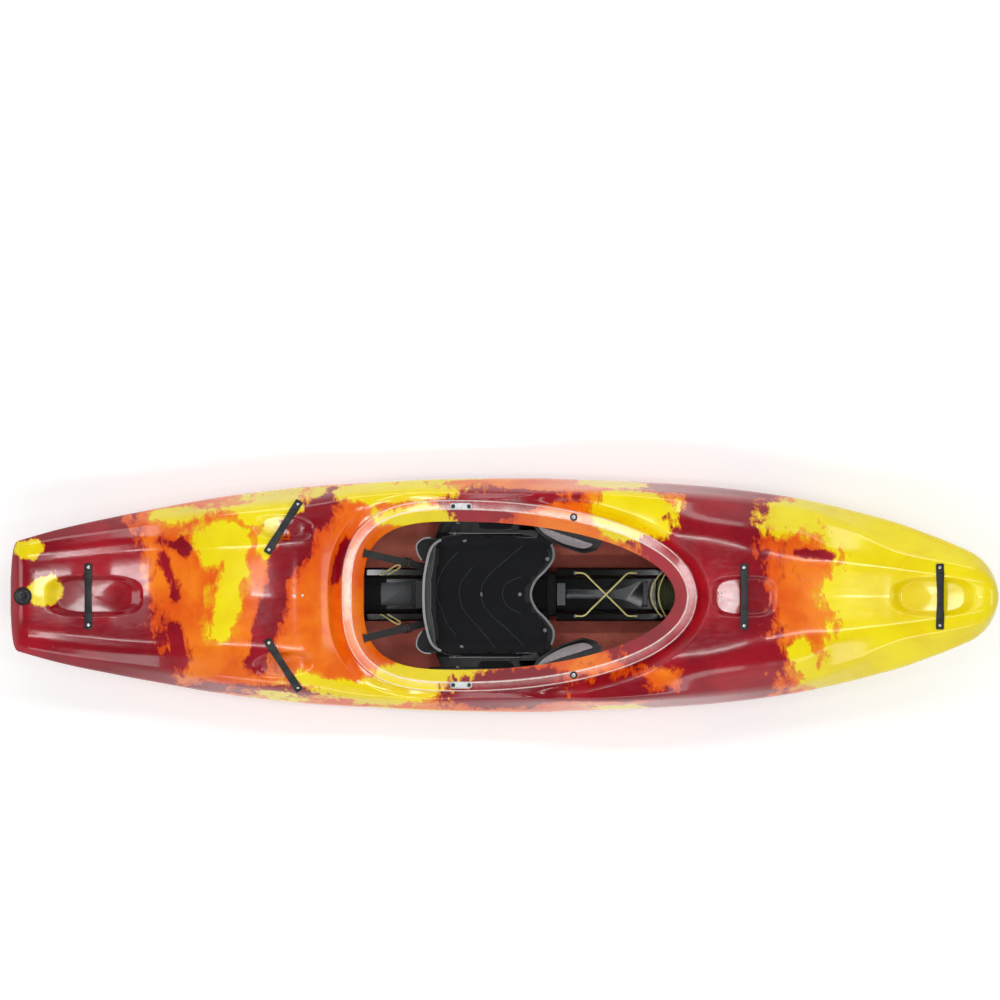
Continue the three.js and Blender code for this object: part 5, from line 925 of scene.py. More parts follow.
def through(points, count):
    """Evenly spaced places along a smooth curve through points: cubic pieces whose end slopes weigh
    the neighbours by the square roots of their distances (centripetal Catmull-Rom)."""
    p = array(points, float)
    p = concatenate([2 * p[:1] - p[1:2], p, 2 * p[-1:] - p[-2:-1]])
    d = sqrt(np.linalg.norm(np.diff(p, axis=0), axis=1))[:, None]
    a, b, c = d[:-2], d[1:-1], d[2:]
    p0, p1, p2, p3 = p[:-3], p[1:-2], p[2:-1], p[3:]
    leave = b * ((p1 - p0) / a - (p2 - p0) / (a + b) + (p2 - p1) / b)
    arrive = b * ((p2 - p1) / b - (p3 - p1) / (b + c) + (p3 - p2) / c)
    t = linspace(0, 1, 60)[:, None, None]
    fine = ((2 * t**3 - 3 * t * t + 1) * p1 + (t**3 - 2 * t * t + t) * leave
            + (3 * t * t - 2 * t**3) * p2 + (t**3 - t * t) * arrive)
    fine = fine.transpose(1, 0, 2).reshape(-1, p.shape[1])
    run = run_of(fine)
    return stack([np.interp(linspace(0, 1, count) * run[-1], run, line) for line in fine.T], -1)


def slab(upper, under):
    """A closed form between two grids of the same size."""
    return mesh_of(concatenate([upper, under[:, ::-1]], 1), around=True, caps=True)


def swept(path, outline, side, scale=(1, 1)):
    """An outline of [a, b] carried along a path: a lies along the side vector, turned square to the
    path, and b along their cross product. Scale may have a pair for each place of the path."""
    tangent = unit(np.gradient(path, axis=0))
    side = unit(side - (side * tangent).sum(-1, keepdims=True) * tangent)
    flat = array(scale, float).reshape(-1, 1, 2) * outline
    rows = (path[:, None] + flat[..., :1] * side[:, None]
            + flat[..., 1:] * np.cross(tangent, side)[:, None])
    return mesh_of(rows, around=True, caps=True)


def circle(radius, sides):
    a = np.arange(sides) / sides * 2 * pi
    return stack([cos(a), sin(a)], -1) * radius


def bar_outline(width, height, radius, steps=5):
    """A rectangle about its middle with rounded corners."""
    w, h = width / 2, height / 2
    return rounded([[w, -h, radius], [w, h, radius], [-w, h, radius], [-w, -h, radius]], steps)


def tube(path, radius, sides=12):
    """A round cord along a path, its ends drawn in over a radius as a quarter circle."""
    run = run_of(path)
    end = quarter(minimum(run, run[-1] - run) / radius, 0.02)
    side = np.cross(unit(path[-1] - path[0]), [0.13, 0.21, 0.97])
    return swept(path, circle(radius, sides), side, stack([end, end], -1))


def screw(place, up, radius, dome, shank, hexagon=False, turn=0.4):
    """A screw: its head's height is a quarter ellipse over its radius, on a short wall, with a
    cross or a hexagon sunk in it. The shank goes down from the place."""
    a = linspace(0, pi / 2, 9)[:-1]
    head = stack([radius * cos(a), 0.4 + dome * sin(a)], -1)
    body = turned([[0, -shank], [2.4, -shank], [2.4, 0], [radius, 0], *head, [0, 0.4 + dome]],
                  place, up)
    up = unit(array(up, float))
    u = unit(np.cross([0, 1, 0.02], up))
    v = np.cross(up, u)
    arm, half = radius * 0.52, radius * 0.13
    cross = [[arm, -half], [arm, half], [half, half], [half, arm], [-half, arm], [-half, half],
             [-arm, half], [-arm, -half], [-half, -half], [-half, -arm], [half, -arm],
             [half, -half]]
    tool = prism(circle(radius * 0.46, 6) if hexagon else cross,
                 [[0.25 * dome, 0.75], [dome + 0.5, 1], [dome + 3, 1]], place,
                 (cos(turn) * u + sin(turn) * v, cos(turn) * v - sin(turn) * u, up))
    return carved(body, [tool])


def nut(place, up):
    """A hexagon nut whose corners are turned off above and below."""
    return turned([[0, 0], [3.87, 0], [4.5, 0.6], [4.5, 3.4], [3.87, 4], [0, 4]], place, up, 6)


def block(low, high, radius):
    """A box between two corners with its upright edges and its top and bottom edges rounded."""
    size = np.subtract(high, low)
    r = min(radius, size.min() / 2.01)
    a = linspace(0, pi / 2, 5)
    share, rise = 1 - r * (1 - sin(a)) / min(size[:2]) * 2, r * (1 - cos(a))
    levels = [*zip(rise, share), *zip(size[2] - rise[::-1], share[::-1])]
    return prism(bar_outline(size[0], size[1], r * 1.6), levels, low + size * [0.5, 0.5, 0])


def plumped(mesh, voxel, cap, rest):
    """A padded form swollen by cloth simulation: remeshed, given air pressure without weight, held
    where it lies within 2 mm of the rest points, and no place moved more than cap."""
    holder = placed("padding", mesh)
    remesh = holder.modifiers.new("even", "REMESH")
    remesh.mode, remesh.voxel_size = "VOXEL", voxel * MM
    holder.data = baked(holder)
    before = points_of(holder.data)
    free = ease((nearest(rest * MM, before) / MM - 2) / 5)
    group = holder.vertex_groups.new(name="held")
    group.add(np.nonzero(free < 0.02)[0].tolist(), 1.0, "REPLACE")
    cloth = holder.modifiers.new("cloth", "CLOTH")
    for name, value in {
            "quality": 4, "mass": 0.3, "use_pressure": True, "uniform_pressure_force": 4,
            "tension_stiffness": 12, "compression_stiffness": 12, "bending_stiffness": 0.6,
            "vertex_group_mass": "held"}.items():
        setattr(cloth.settings, name, value)
    cloth.settings.effector_weights.gravity = 0
    cloth.collision_settings.use_collision = False
    for number in range(1, 21):
        bpy.context.scene.frame_set(number)
    after = points_of(baked(holder))
    bpy.context.scene.frame_set(1)
    move = after - before
    size = np.linalg.norm(move, axis=1, keepdims=True)
    move *= minimum(1, cap * MM / maximum(size, 1e-9)) * free[:, None]
    holder.data.vertices.foreach_set("co", (before + move).ravel())
    holder.modifiers.new("relax", "SMOOTH").iterations = 3
    finer = holder.modifiers.new("finer", "SUBSURF")
    finer.levels = finer.render_levels = 1
    result = baked(holder)
    bpy.data.objects.remove(holder)
    result.shade_smooth()
    return result


def pad(name, mesh, material, body, node):
    """A padded piece, made as any other piece."""
    piece(name, mesh, material, body, node)


def sewn(mesh, offset):
    """Moves each place of a mesh by an offset in millimetres, worked out from all of them."""
    points = points_of(mesh) / MM
    mesh.vertices.foreach_set("co", ((points + offset(points)) * MM).ravel())
    mesh.update()
    return mesh


# --- handles, anchors and bolts ---

HANDLE_HALF = 11
HANDLE_THICKNESS = 7
HANDLE_SINK = HANDLE_THICKNESS / 2 - 2
REACH = BEAM * 0.2438 / 2
REAR_HANDLE = array([[LENGTH * -0.2374, BEAM * 0.196], [LENGTH * -0.2089, BEAM * 0.3889]])
HANDLES = [
    *((name, [x * LENGTH, REACH], [x * LENGTH, -REACH], rise)
      for name, x, rise in (("stern_handle", -0.4207, 12), ("bow_handle", 0.4407, 9.6),
                            ("front_deck_handle", 0.2433, 5.8))),
    *((f"rear_handle_{name}", *REAR_HANDLE * [1, side], 8.6) for name, side in SIDES),
]
GAP = 0.3


def make_handle(name, start, end, rise):
    """A moulded strap: the line between its feet, lifted by a product of two smoothsteps, carries a
    dished bar whose ends have rounded corners; a screw sits in a sunk seat in each foot."""
    feet = array([[x, y, deck_height(x, y) + HANDLE_SINK] for x, y in (start, end)])
    middle = feet.mean(0)
    crown = maximum(deck_height(*middle[:2]) - middle[2], 0)
    span = np.linalg.norm(feet[1] - feet[0])
    beyond = HANDLE_HALF / span
    share = mix(-beyond, 1 + beyond, (1 - cos(pi * linspace(0, 1, 97))) / 2)
    path = feet[:1] + (feet[1] - feet[0]) * share[:, None]
    lift = ease((share - 0.12) / 0.3) * ease((0.88 - share) / 0.3)
    under = deck_height(*path.T[:2]) + HANDLE_SINK
    path[:, 2] = maximum(path[:, 2] + (crown + rise) * lift,
                         under + 1.8 * ease(share * 9) * ease((1 - share) * 9))
    from_end = minimum(share + beyond, 1 + beyond - share) * span
    half = (HANDLE_HALF - 4 + 4 * quarter(from_end / 4, 0.0004)) * (1 - 0.14 * lift)
    thick = 0.55 + 0.45 * quarter(from_end / 2.2)
    outline = rounded([[11, -3.5, 1.6], [11, 2.4, 1.7], [9.4, 3.5, 0.9], [7.4, 2.7, 1.4],
                       [-7.4, 2.7, 1.4], [-9.4, 3.5, 0.9], [-11, 2.4, 1.7], [-11, -3.5, 1.6]], 4)
    strap = swept(path, outline, [end[1] - start[1], start[0] - end[0], 0],
                  stack([half / HANDLE_HALF, thick], -1))
    tilt = []
    for x, y in (start, end):
        along, across = deck_height([x - 2, x + 2], y), deck_height(x, [y - 2, y + 2])
        tilt.append(unit(array([along[0] - along[1], across[0] - across[1], 4]) / 4))
    seats = [turned([[0, 1.5], [5.6, 1.5], [6.2, 1.9], [7.2, 5], [0, 5]], foot, up, 36)
             for foot, up in zip(feet, tilt)]
    piece(f"{name}_strap", carved(strap, seats), handle_plastic, "hull", name,
          sharp=34)
    heads = [screw(foot + 1.5 * up, up, 4.9, 1.7, 6, turn=0.4 + k)
             for k, (foot, up) in enumerate(zip(feet, tilt))]
    piece(f"{name}_screws", joined(heads), white_metal, "hull", sharp=38)


for row in HANDLES:
    make_handle(*row)

BRACE_BOLT = [184, 44]
for side_name, side in SIDES:
    place, *basis = rim_frame(*ANCHOR, side)
    up = basis[2]
    base = place - (GROOVE - GAP) * up
    places = [base + x * basis[0] for x in (22, -22)]
    plate = prism(stadium(ANCHOR_LENGTH, ANCHOR_WIDTH, 14),
                  [[0, 0.985], [0.4, 1], [2.2, 1], [2.75, 0.975], [3, 0.94]], base, basis)
    plate = carved(plate, [turned([[0, 1.4], [5.2, 1.4], [6.6, 3.4], [0, 3.4]], at, up, 36)
                           for at in places])
    piece(f"anchor_plate_{side_name}_cover", plate, plate_metal, "hull",
          f"anchor_plate_{side_name}", sharp=36)
    screws = [part for at, turn in zip(places, (22, -22)) for part in (
        screw(at + 1.2 * up, up, 5.0, 1.5, 23, True, turn), nut(at - 15.4 * up, up))]
    piece(f"anchor_screws_{side_name}", joined(screws), dark_steel, "hull", sharp=38)

    place, _, _, up = rim_frame(*BRACE_BOLT, side)
    washer = turned([[3.4, 0.9], [10.2, 0.9], [10.5, 1.2], [10.5, 2.3], [9.9, 2.9], [8.6, 2.9],
                     [7.6, 2.2], [3.4, 2.2]], place, up, 48, loop=True)
    piece(f"brace_washer_{side_name}", washer, black_plastic, "hull", sharp=36)
    parts = [screw(place + 2.3 * up, up, 6.2, 2.1, 22, True, side), nut(place - 19 * up, up)]
    piece(f"brace_bolt_{side_name}_head", joined(parts), steel, "hull",
          f"brace_bolt_{side_name}", sharp=38)

# Small screws in the deck: two behind the cockpit, and two in the hollow before the front handle
deck_screws = [screw([x, y, deck_height(x, y) - sink], [0.02, 0, 1], 4.2, 1.4, 4, turn=x)
               for x, y, sink in ([-572, 2, 0.3], [-550, 2, 0.3], [591, 9, 2.3], [591, -9, 2.3])]
piece("deck_screws", joined(deck_screws), white_metal, "hull", sharp=38)


# --- drain fittings ---

DRAIN_TOP = HEIGHT * 0.8249
RING_TOP = DRAIN_TOP + 2.8
PLUG_BASE = [*DRAIN, RING_TOP + 2.3 + GAP]
ring = turned([
    [10, -12], [12.6, -12], [13.6, -11.2], [13.6, 0.2], [13.7, 0.35], [23.8, 0.35], [24.5, 1.0],
    [24.5, 1.9], [23.8, 2.7], [22.6, 2.8], [10.6, 2.8], [10, 2.2]],
    [*DRAIN, DRAIN_TOP], sides=64, loop=True)
piece("drain_ring_collar", ring, black_plastic, "hull", "drain_ring", sharp=36)
gasket = turned([[10, 0], [21.2, 0], [21.5, 0.6], [21.5, 1.4], [21.2, 2], [10.2, 2]],
                [*DRAIN, RING_TOP + GAP], sides=64, loop=True)
piece("drain_gasket_ring", gasket, rubber, "drain_gasket", "drain_gasket", sharp=40)


def plug_grips(angle, height):
    """Eight finger grips round the plug's head, as a cosine."""
    return -0.8 * (1 - cos(8 * angle)) * ease((height - 0.2) / 2) * (abs(height - 4.8) < 4.3)


threads = [[9.7 - 0.9 * (k % 2), -12 + 0.75 * k] for k in range(16)]
plug = turned([[0, -12], *threads, [9.7, 0], [18.6, 0], [19.5, 0.9], [19.5, 7.4], [19.0, 8.4],
               [17.8, 9], [15.4, 9], [14.6, 8.5], [14, 5.4], [13.2, 5], [0, 5]], PLUG_BASE,
              sides=128, bumps=plug_grips)
grip = prism(bar_outline(27.4, 6.4, 2.6), [[4.9, 1.05], [8.0, 0.96], [8.9, 0.88]], PLUG_BASE,
             (array([0.5, 0.866, 0]), array([-0.866, 0.5, 0]), Z))
piece("drain_plug_cap", carved(plug, plus=[grip]), dark_plastic, "drain_plug",
      "drain_plug", sharp=36)


# --- trays and what lies on them ---

TRAY_TOP = 112
TRAY_FLOOR = 34
BUNGEE = 2.2
REAR_CORD = 1.8
RIDGE_Y = 60
RIDGE = TRAY_TOP + GAP + BUNGEE
CROSS_X = [208, LENGTH * 0.1348]
REAR_LOOP = [[-343, 54], [-330, 61.5], [-314, 71.5], [-300, 80], [-293.5, 82.8], [-288, 81.4],
             [-286.5, 77], [-291, 73], [-303, 66], [-323, 54]]


def lay_cord(name, node, path, radius):
    """A stretched elastic cord: a tube along its path."""
    made = piece(name, tube(path, radius), cord_fabric, "hull", node)


eyelets = []
half = (CROSS_X[1] - CROSS_X[0]) / 2
for side_name, side in SIDES:
    # The port cord crosses over the other one
    rise = 2 * BUNGEE + GAP if side > 0 else 0
    arm = array([[0, 0, rise], [half - 32, 0.76, 0.2 * rise], [half - 22, 0.93, 0],
                 [half - 12, 1, 0], [half, 1, 0], [half + 6, 1, -0.6], [half + 7, 1, -3.4]])
    arms = concatenate([arm[:0:-1] * [-1, -1, 1], arm])
    cross = arms * [1, side * RIDGE_Y, 1] + [sum(CROSS_X) / 2, 0, RIDGE]
    lay_cord(f"bungee_{side_name}_cord", f"bungee_{side_name}", through(cross, 72), BUNGEE)
    eyelets += [[CROSS_X[0] - 7, side * RIDGE_Y], [CROSS_X[1] + 7, side * RIDGE_Y]]
for name, ends, bulge, rise in (("rear_bottle_loop", LENGTH * 0.163, 28, 8),
                                ("front_bottle_loop", LENGTH * 0.1678, 21, 17)):
    share = linspace(-1, 1, 7)
    arch = stack([ends - bulge * (1 - share**2), share * RIDGE_Y, RIDGE + rise * (1 - share**4)],
                 -1)
    feet = [[ends + 1, side * (RIDGE_Y + 1), RIDGE - 3.4] for side in (-1, 1)]
    lay_cord(f"{name}_cord", name, through([feet[0], *arch, feet[1]], 64), BUNGEE)
    eyelets += [feet[1][:2], feet[0][:2]]
for side_name, side in SIDES:
    path = through([[x, side * y, TRAY_TOP + GAP + REAR_CORD] for x, y in REAR_LOOP], 72)
    lay_cord(f"rear_cord_{side_name}_loop", f"rear_cord_{side_name}", path, REAR_CORD)
grommets = [turned([[2.3, 0], [4.6, 0], [4.6, 0.4], [4.0, 0.9], [2.8, 0.9], [2.3, 0.5]],
                   [x, y, TRAY_TOP], sides=20, loop=True) for x, y in eyelets]
piece("cord_eyelets", joined(grommets), grey_plastic, "hull", sharp=40)

# Panels let into the trays, a grey cap on the block in front of the seat which is a painted
# highlight, and the rib along the front tray's floor, which flares towards the bottle
panels = [block([-347, -32, TRAY_FLOOR - 0.5], [-256, 32, TRAY_FLOOR + 2.2], 1.2),
          # The grey cap on the black block in front of the seat is a painted highlight
          block([150.5, -31.5, 61.5], [173.5, 31.5, 63.2], 0.9),
          block([LENGTH * 0.1352 + 27, -33, 41.6], [LENGTH * 0.1352 + 39, 33, 44.2], 1.0)]
half_rib = array([[-116, 12, 3], [24, 12.5, 3], [48, 16, 3], [78, 30, 3], [92, 36, 3],
                  [114, 36, 3]])
rib = prism(rounded(concatenate([half_rib, half_rib[::-1] * [1, -1, 1]])),
            [[0, 1.012], [7.4, 1], [8.2, 0.99]], [290, 0, TRAY_FLOOR - 0.4])
rib.polygons.foreach_set("material_index", [1] * len(rib.polygons))
piece("tray_panels_and_painted_highlight", joined([*panels, rib]), [satin_plastic, dark_plastic], "hull",
      sharp=36)

# The rear tray's apron on the hull's rising bottom, and the web between the two trays
x, y = grid((-388, -326, 14), (-52, 52, 14))
bottom = deck_height(x, y, 1) + WALL
apron = slab(*(stack([x, y, bottom + up], -1) for up in (2.4, 0.5)))
web = block([122, -62, TRAY_FLOOR + 4], [149, 62, TRAY_FLOOR + 12], 2)
piece("tray_webs", joined([apron, web]), matt_plastic, "hull", sharp=36)

# The bottle's sleeve: ribs run round it, and its mouth is turned over a hem
BOTTLE_REAR = LENGTH * 0.1596
BOTTLE = 44.8
BOTTLE_LENGTH = 150
x = linspace(0, BOTTLE_LENGTH - 7, 118)
ribs = minimum(BOTTLE - 0.9 + 0.8 * cos(2 * pi * x / 6.5), 32.8 + 12 * quarter(x / 12))
hem = [[BOTTLE - 0.4, -6], [BOTTLE, -3.5], [BOTTLE - 1.2, -0.6], [BOTTLE - 3.2, 0], [30, -1.5],
       [0, -1.8]]
profile = [[0, 0.8], [20, 0.4], *stack([ribs, x], -1), *([r, BOTTLE_LENGTH + h] for r, h in hem)]
sleeve = turned(profile, [BOTTLE_REAR, 0, TRAY_FLOOR + BOTTLE + GAP], X, 96,
                lambda angle, height: 0.35 * cos(5 * angle + height / 9) * (height > 3))
piece("bottle_sleeve_knit", sleeve, sleeve_fabric, "hull", "bottle_sleeve",
      sharp=50)


# --- seat ---

SEAT_REAR = -200
SEAT_FRONT = 142
SEAT_HALF = 201
SEAT_NOTCH = 70
SEAT_LOW = 62
SEAT_LIFT = 36
SEAT_SIDE_RISE = 60
notch_at = curve_through([[0, 0], [160, 190], [320, 640], [480, 1000], [630, 940], [880, 800],
                          [1000, 500]])
lift_at = curve_through([[0, 950], [150, 340], [350, 0], [600, 100], [800, 500], [1000, 1000]])


def seat_height(x, y):
    """The seat pan's upper face: a bowl along the boat, with sides that ease up."""
    along = (x - SEAT_REAR) / (SEAT_FRONT - SEAT_REAR)
    side = ease((abs(y) / SEAT_HALF - 0.62) / 0.38)
    return SEAT_LOW + SEAT_LIFT * lift_at(along) + SEAT_SIDE_RISE * side


def seat_place(u, v):
    """The seat by shares of its depth and width, with its notched front edge."""
    share = abs(2 * v - 1)
    rear = SEAT_REAR + SEAT_NOTCH * 0.4 * share**4
    front = SEAT_FRONT - SEAT_NOTCH * (1 - notch_at(share))
    x, y = mix(rear, front, u), SEAT_HALF * (2 * v - 1)
    return stack([x, y, seat_height(x, y)], -1)


# Lines of stitching across the pad, buttons, and the edge of its grey piping, as [x, y]
SEAMS = [
    [[-124, 120], [-158, 83], [-182, 36], [-185, -4], [-170, -45], [-156, -83], [-129, -117]],
    [[-83, 77], [-118, 33], [-121, -10], [-109, -45], [-54, -109], [-20, -152]],
    [[59, 140], [-42, 50], [-60, 19], [-55, -28], [-34, -57], [21, -106], [59, -144]],
    [[51, 50], [10, 30], [-2, 1], [10, -31], [51, -55]],
]
BUTTONS = [[-108, 151], [-116, -147], [-61, 0], [46, 0], [123, 99], [117, -100]]
PIPING = [[134, 140], [140, 122], [139, 98], [120, 70], [90, 38], [77, 0], [90, -38], [120, -70],
          [139, -98], [140, -122], [134, -140]]
PAD_THICKNESS = 12


def inset(u, u_low, u_high, v, v_low, v_high):
    """How far a place of a grid lies from the nearest of its four edges."""
    return minimum(minimum(u - u_low, u_high - u), minimum(v - v_low, v_high - v))


rear_edge, side_edge = (0.045, 0.955), (0.078, 0.922)
u, v = grid((*rear_edge, 56), (*side_edge, 66))
under = seat_place(u, v) + [0, 0, 0.6]
thick = mix(4.2, PAD_THICKNESS - 2.5, ease(inset(u, *rear_edge, v, *side_edge) * 9))
seat_pad = plumped(slab(under + thick[..., None] * Z, under), 4.6, 3.5, under.reshape(-1, 3))
seam_lines = [through(line, 60) for line in SEAMS]


def bells(away, narrow, narrow_width, wide, wide_width):
    """The depth of stitching at a distance from it, as a narrow bell plus a wide one."""
    return narrow * exp(-((away / narrow_width) ** 2)) + wide * exp(-((away / wide_width) ** 2))


def stitch(points):
    """Down along each line of stitching and at the buttons, and never into the seat."""
    flat = points[:, :2]
    away = []
    for line in seam_lines:
        start, way = line[:-1], np.diff(line, axis=0)
        off = flat[:, None] - start
        share = clip((off * way).sum(-1) / (way * way).sum(-1), 0, 1)
        away.append(np.linalg.norm(off - share[..., None] * way, axis=-1).min(1))
    spots = np.linalg.norm(flat[:, None] - array(BUTTONS), axis=-1).min(1)
    height = points[:, 2] - seat_height(*flat.T)
    down = bells(np.min(away, 0), 1.5, 2.2, 1.7, 9) + 2.2 * exp(-((spots / 8) ** 2))
    down = minimum(down * ease((height - 3) / 4), maximum(height - 1.2, 0))
    return -down[:, None] * Z


pad("seat_pad_cover", sewn(seat_pad, stitch), seat_fabric, "seat", "seat_pad")


def on_pad(points, lift):
    """Places on top of the finished seat pad, found by a ray from above, raised by a lift."""
    tree = BVHTree.FromPolygons([tuple(p) for p in points_of(seat_pad)],
                                [tuple(f.vertices) for f in seat_pad.polygons])
    found = []
    for x, y in points:
        hit = tree.ray_cast(Vector((x * MM, y * MM, 1)), Vector((0, 0, -1)))[0]
        found.append([x, y, (hit.z / MM if hit else seat_height(x, y) + 3) + lift])
    return array(found)


threads = [tube(on_pad(line, -0.1), 0.9, 6) for line in seam_lines]
piece("seat_stitching", joined(threads), thread, "seat", sharp=60)
edge_path = on_pad(through(PIPING, 90), 0.3)
edge_path[:, 2] = np.convolve(np.pad(edge_path[:, 2], 3, "edge"), np.ones(7) / 7, "valid")
level = np.cross(np.gradient(edge_path, axis=0), Z)
piece("seat_piping", swept(edge_path, bar_outline(6.5, 3.4, 1.4), level), piping_fabric, "seat",
      sharp=60)
studs = [turned([[0, 0], [5.4, 0], [5.6, 0.6], [5.0, 1.3], [3.6, 1.5], [2.6, 1.1], [0, 1.0]],
                place, sides=28) for place in on_pad(BUTTONS, -0.2)]
piece("seat_snaps", joined(studs), grey_plastic, "seat", sharp=40)

for side_name, side in SIDES:
    face = side * (SEAT_HALF - GAP - 0.4)
    x, z = np.meshgrid(linspace(-74, 34, 24), linspace(144, 207, 16))
    rest = stack([x.ravel(), np.full(x.size, face), z.ravel()], -1)
    t = linspace(0, 1, 9)
    levels = stack([0.2 + 19.5 * t, 0.96 - 0.3 * (1 - sqrt(1 - 0.96 * t * t))], -1)
    form = prism(rounded([[-54, -31, 12], [54, -31, 12], [54, 12, 18], [20, 31, 24],
                          [-54, 31, 14]], 8), levels, [-20, face, 175.5], (X, Z, -side * Y))
    pad(f"hip_pad_{side_name}_cover", plumped(form, 4.5, 4, rest), pad_fabric, "seat",
        f"hip_pad_{side_name}")


# --- backband ---

BACKBAND_X = -222
BACKBAND_HALF = 167
BACKBAND_WRAP = 107
# Half of its plan, each [share of the half width, share of the wrap]
plan = array([[0, 0], [0.42, 0.045], [0.83, 0.24], [0.966, 0.58], [1, 1]])
plan = plan[:, ::-1] * [BACKBAND_WRAP, BACKBAND_HALF] + [BACKBAND_X, 0]
BACK_LINE = through(concatenate([plan[:0:-1] * [1, -1], plan]), 1201)
BACK_SHARES = linspace(0, 1, len(BACK_LINE))
BACK_SLOPE = unit(np.gradient(BACK_LINE, axis=0))
top_drop = curve_through([[0, 0], [300, 70], [550, 420], [750, 930], [1000, 1000]])
low_rise = curve_through([[0, 0], [300, 50], [550, 400], [750, 900], [1000, 1000]])


def back_place(u, v, out, margin=0.0):
    """The backband: a plan curve round the back by its arc length share, moved along its inner
    normal, between edges that fall and rise towards the wings."""
    x, y, tx, ty = (np.interp(u, BACK_SHARES, line) for line in (*BACK_LINE.T, *BACK_SLOPE.T))
    share = abs(2 * u - 1)
    low = 128 + 70 * low_rise(share) + margin
    top = 306 - 84 * top_drop(share) - margin
    return stack(np.broadcast_arrays(x + ty * out, y - tx * out, mix(low, top, v)), -1)


# The plate is drawn finer than its solid, with rounded edges and a foot on the seat's shelf
u, v = grid((0, 1, 121), (0, 1, 25))
bulge = 1.1 + 0.9 * quarter(minimum(v, 1 - v) * 30)
shelf = SEAT_LOW + SEAT_LIFT + GAP + 2
foot = through([[0, 0, 158], [0, 0, shelf + 9], [2.2, 0, shelf + 2.2], [9, 0, shelf],
                [16, 0, shelf]], 30) + [BACKBAND_X, 0, 0]
plate = carved(slab(back_place(u, v, bulge), back_place(u, v, -bulge)),
               plus=[swept(foot, bar_outline(60, 4, 1.2), Y)])
piece("backband_plate", plate, black_plastic, "backband", "backband_shell",
      sharp=40)


def on_band(u, v, out):
    """Places over the part of the backband that its pad covers."""
    return back_place(0.5 + (u - 0.5) * 0.7, v, out, 6)


u, v = grid((0, 1, 64), (0, 1, 40))
rise = ease(minimum(u, 1 - u) * 6) * ease(minimum(v, 1 - v) * 3.4)
inner = on_band(u, v, 2.5)
back_pad = plumped(slab(on_band(u, v, 2.3 + mix(5, 17.5, rise)), inner), 5.2, 5.5,
                   inner.reshape(-1, 3))
BACK_SEAMS = [[[0.1, 0.36], [0.35, 0.28], [0.65, 0.28], [0.9, 0.36]],
              [[0.1, 0.66], [0.35, 0.72], [0.65, 0.72], [0.9, 0.66]]]
seam_points = concatenate([on_band(*through(line, 160).T, 20) for line in BACK_SEAMS])


def back_stitch(points):
    """In towards the backband along two lines of stitching."""
    inward = unit(points - [40, 0, 0]) * [1, 1, 0]
    return inward * bells(nearest(seam_points, points), 1.8, 3.5, 1.6, 11)[:, None]


pad("backband_pad_cover", sewn(back_pad, back_stitch), seat_fabric, "backband", "backband_pad")

# Bound edges: along the band's top, and the loops behind its wings
rim_line = back_place(linspace(0.13, 0.87, 120), 1.0, 3.0) + [0, 0, 1.4]
level = np.cross(np.gradient(rim_line, axis=0), Z)
bound, ears = [swept(rim_line, bar_outline(7, 3.6, 1.5), level)], []
for _, side in SIDES:
    loop = through(array([[-199, 160, 262], [-222, 156, 264], [-238, 140, 266], [-236, 118, 270],
                          [-224, 97, 274]]) * [1, side, 1], 50)
    bound.append(tube(loop, 1.9, 10))
    inner = back_place(0.5 + side * linspace(0.36, 0.2, 50), 0.86, -2.6)
    face = mix(loop[:, None] - [0, 0, 1.5], inner[:, None], linspace(0, 1, 12)[None, :, None])
    ears.append(slab(face + [0, 0, 1.1], face - [0, 0, 1.1]))
piece("backband_binding", joined(bound), piping_fabric, "backband", sharp=60)
piece("backband_ears", joined(ears), pad_fabric, "backband", sharp=60)


# --- straps, ratchets and webbing ---

STRAP_Y = 171.2
STRAP_Z = 210
PIN_X = 89
PIN_Y = 162
WALL_Y = 175.7

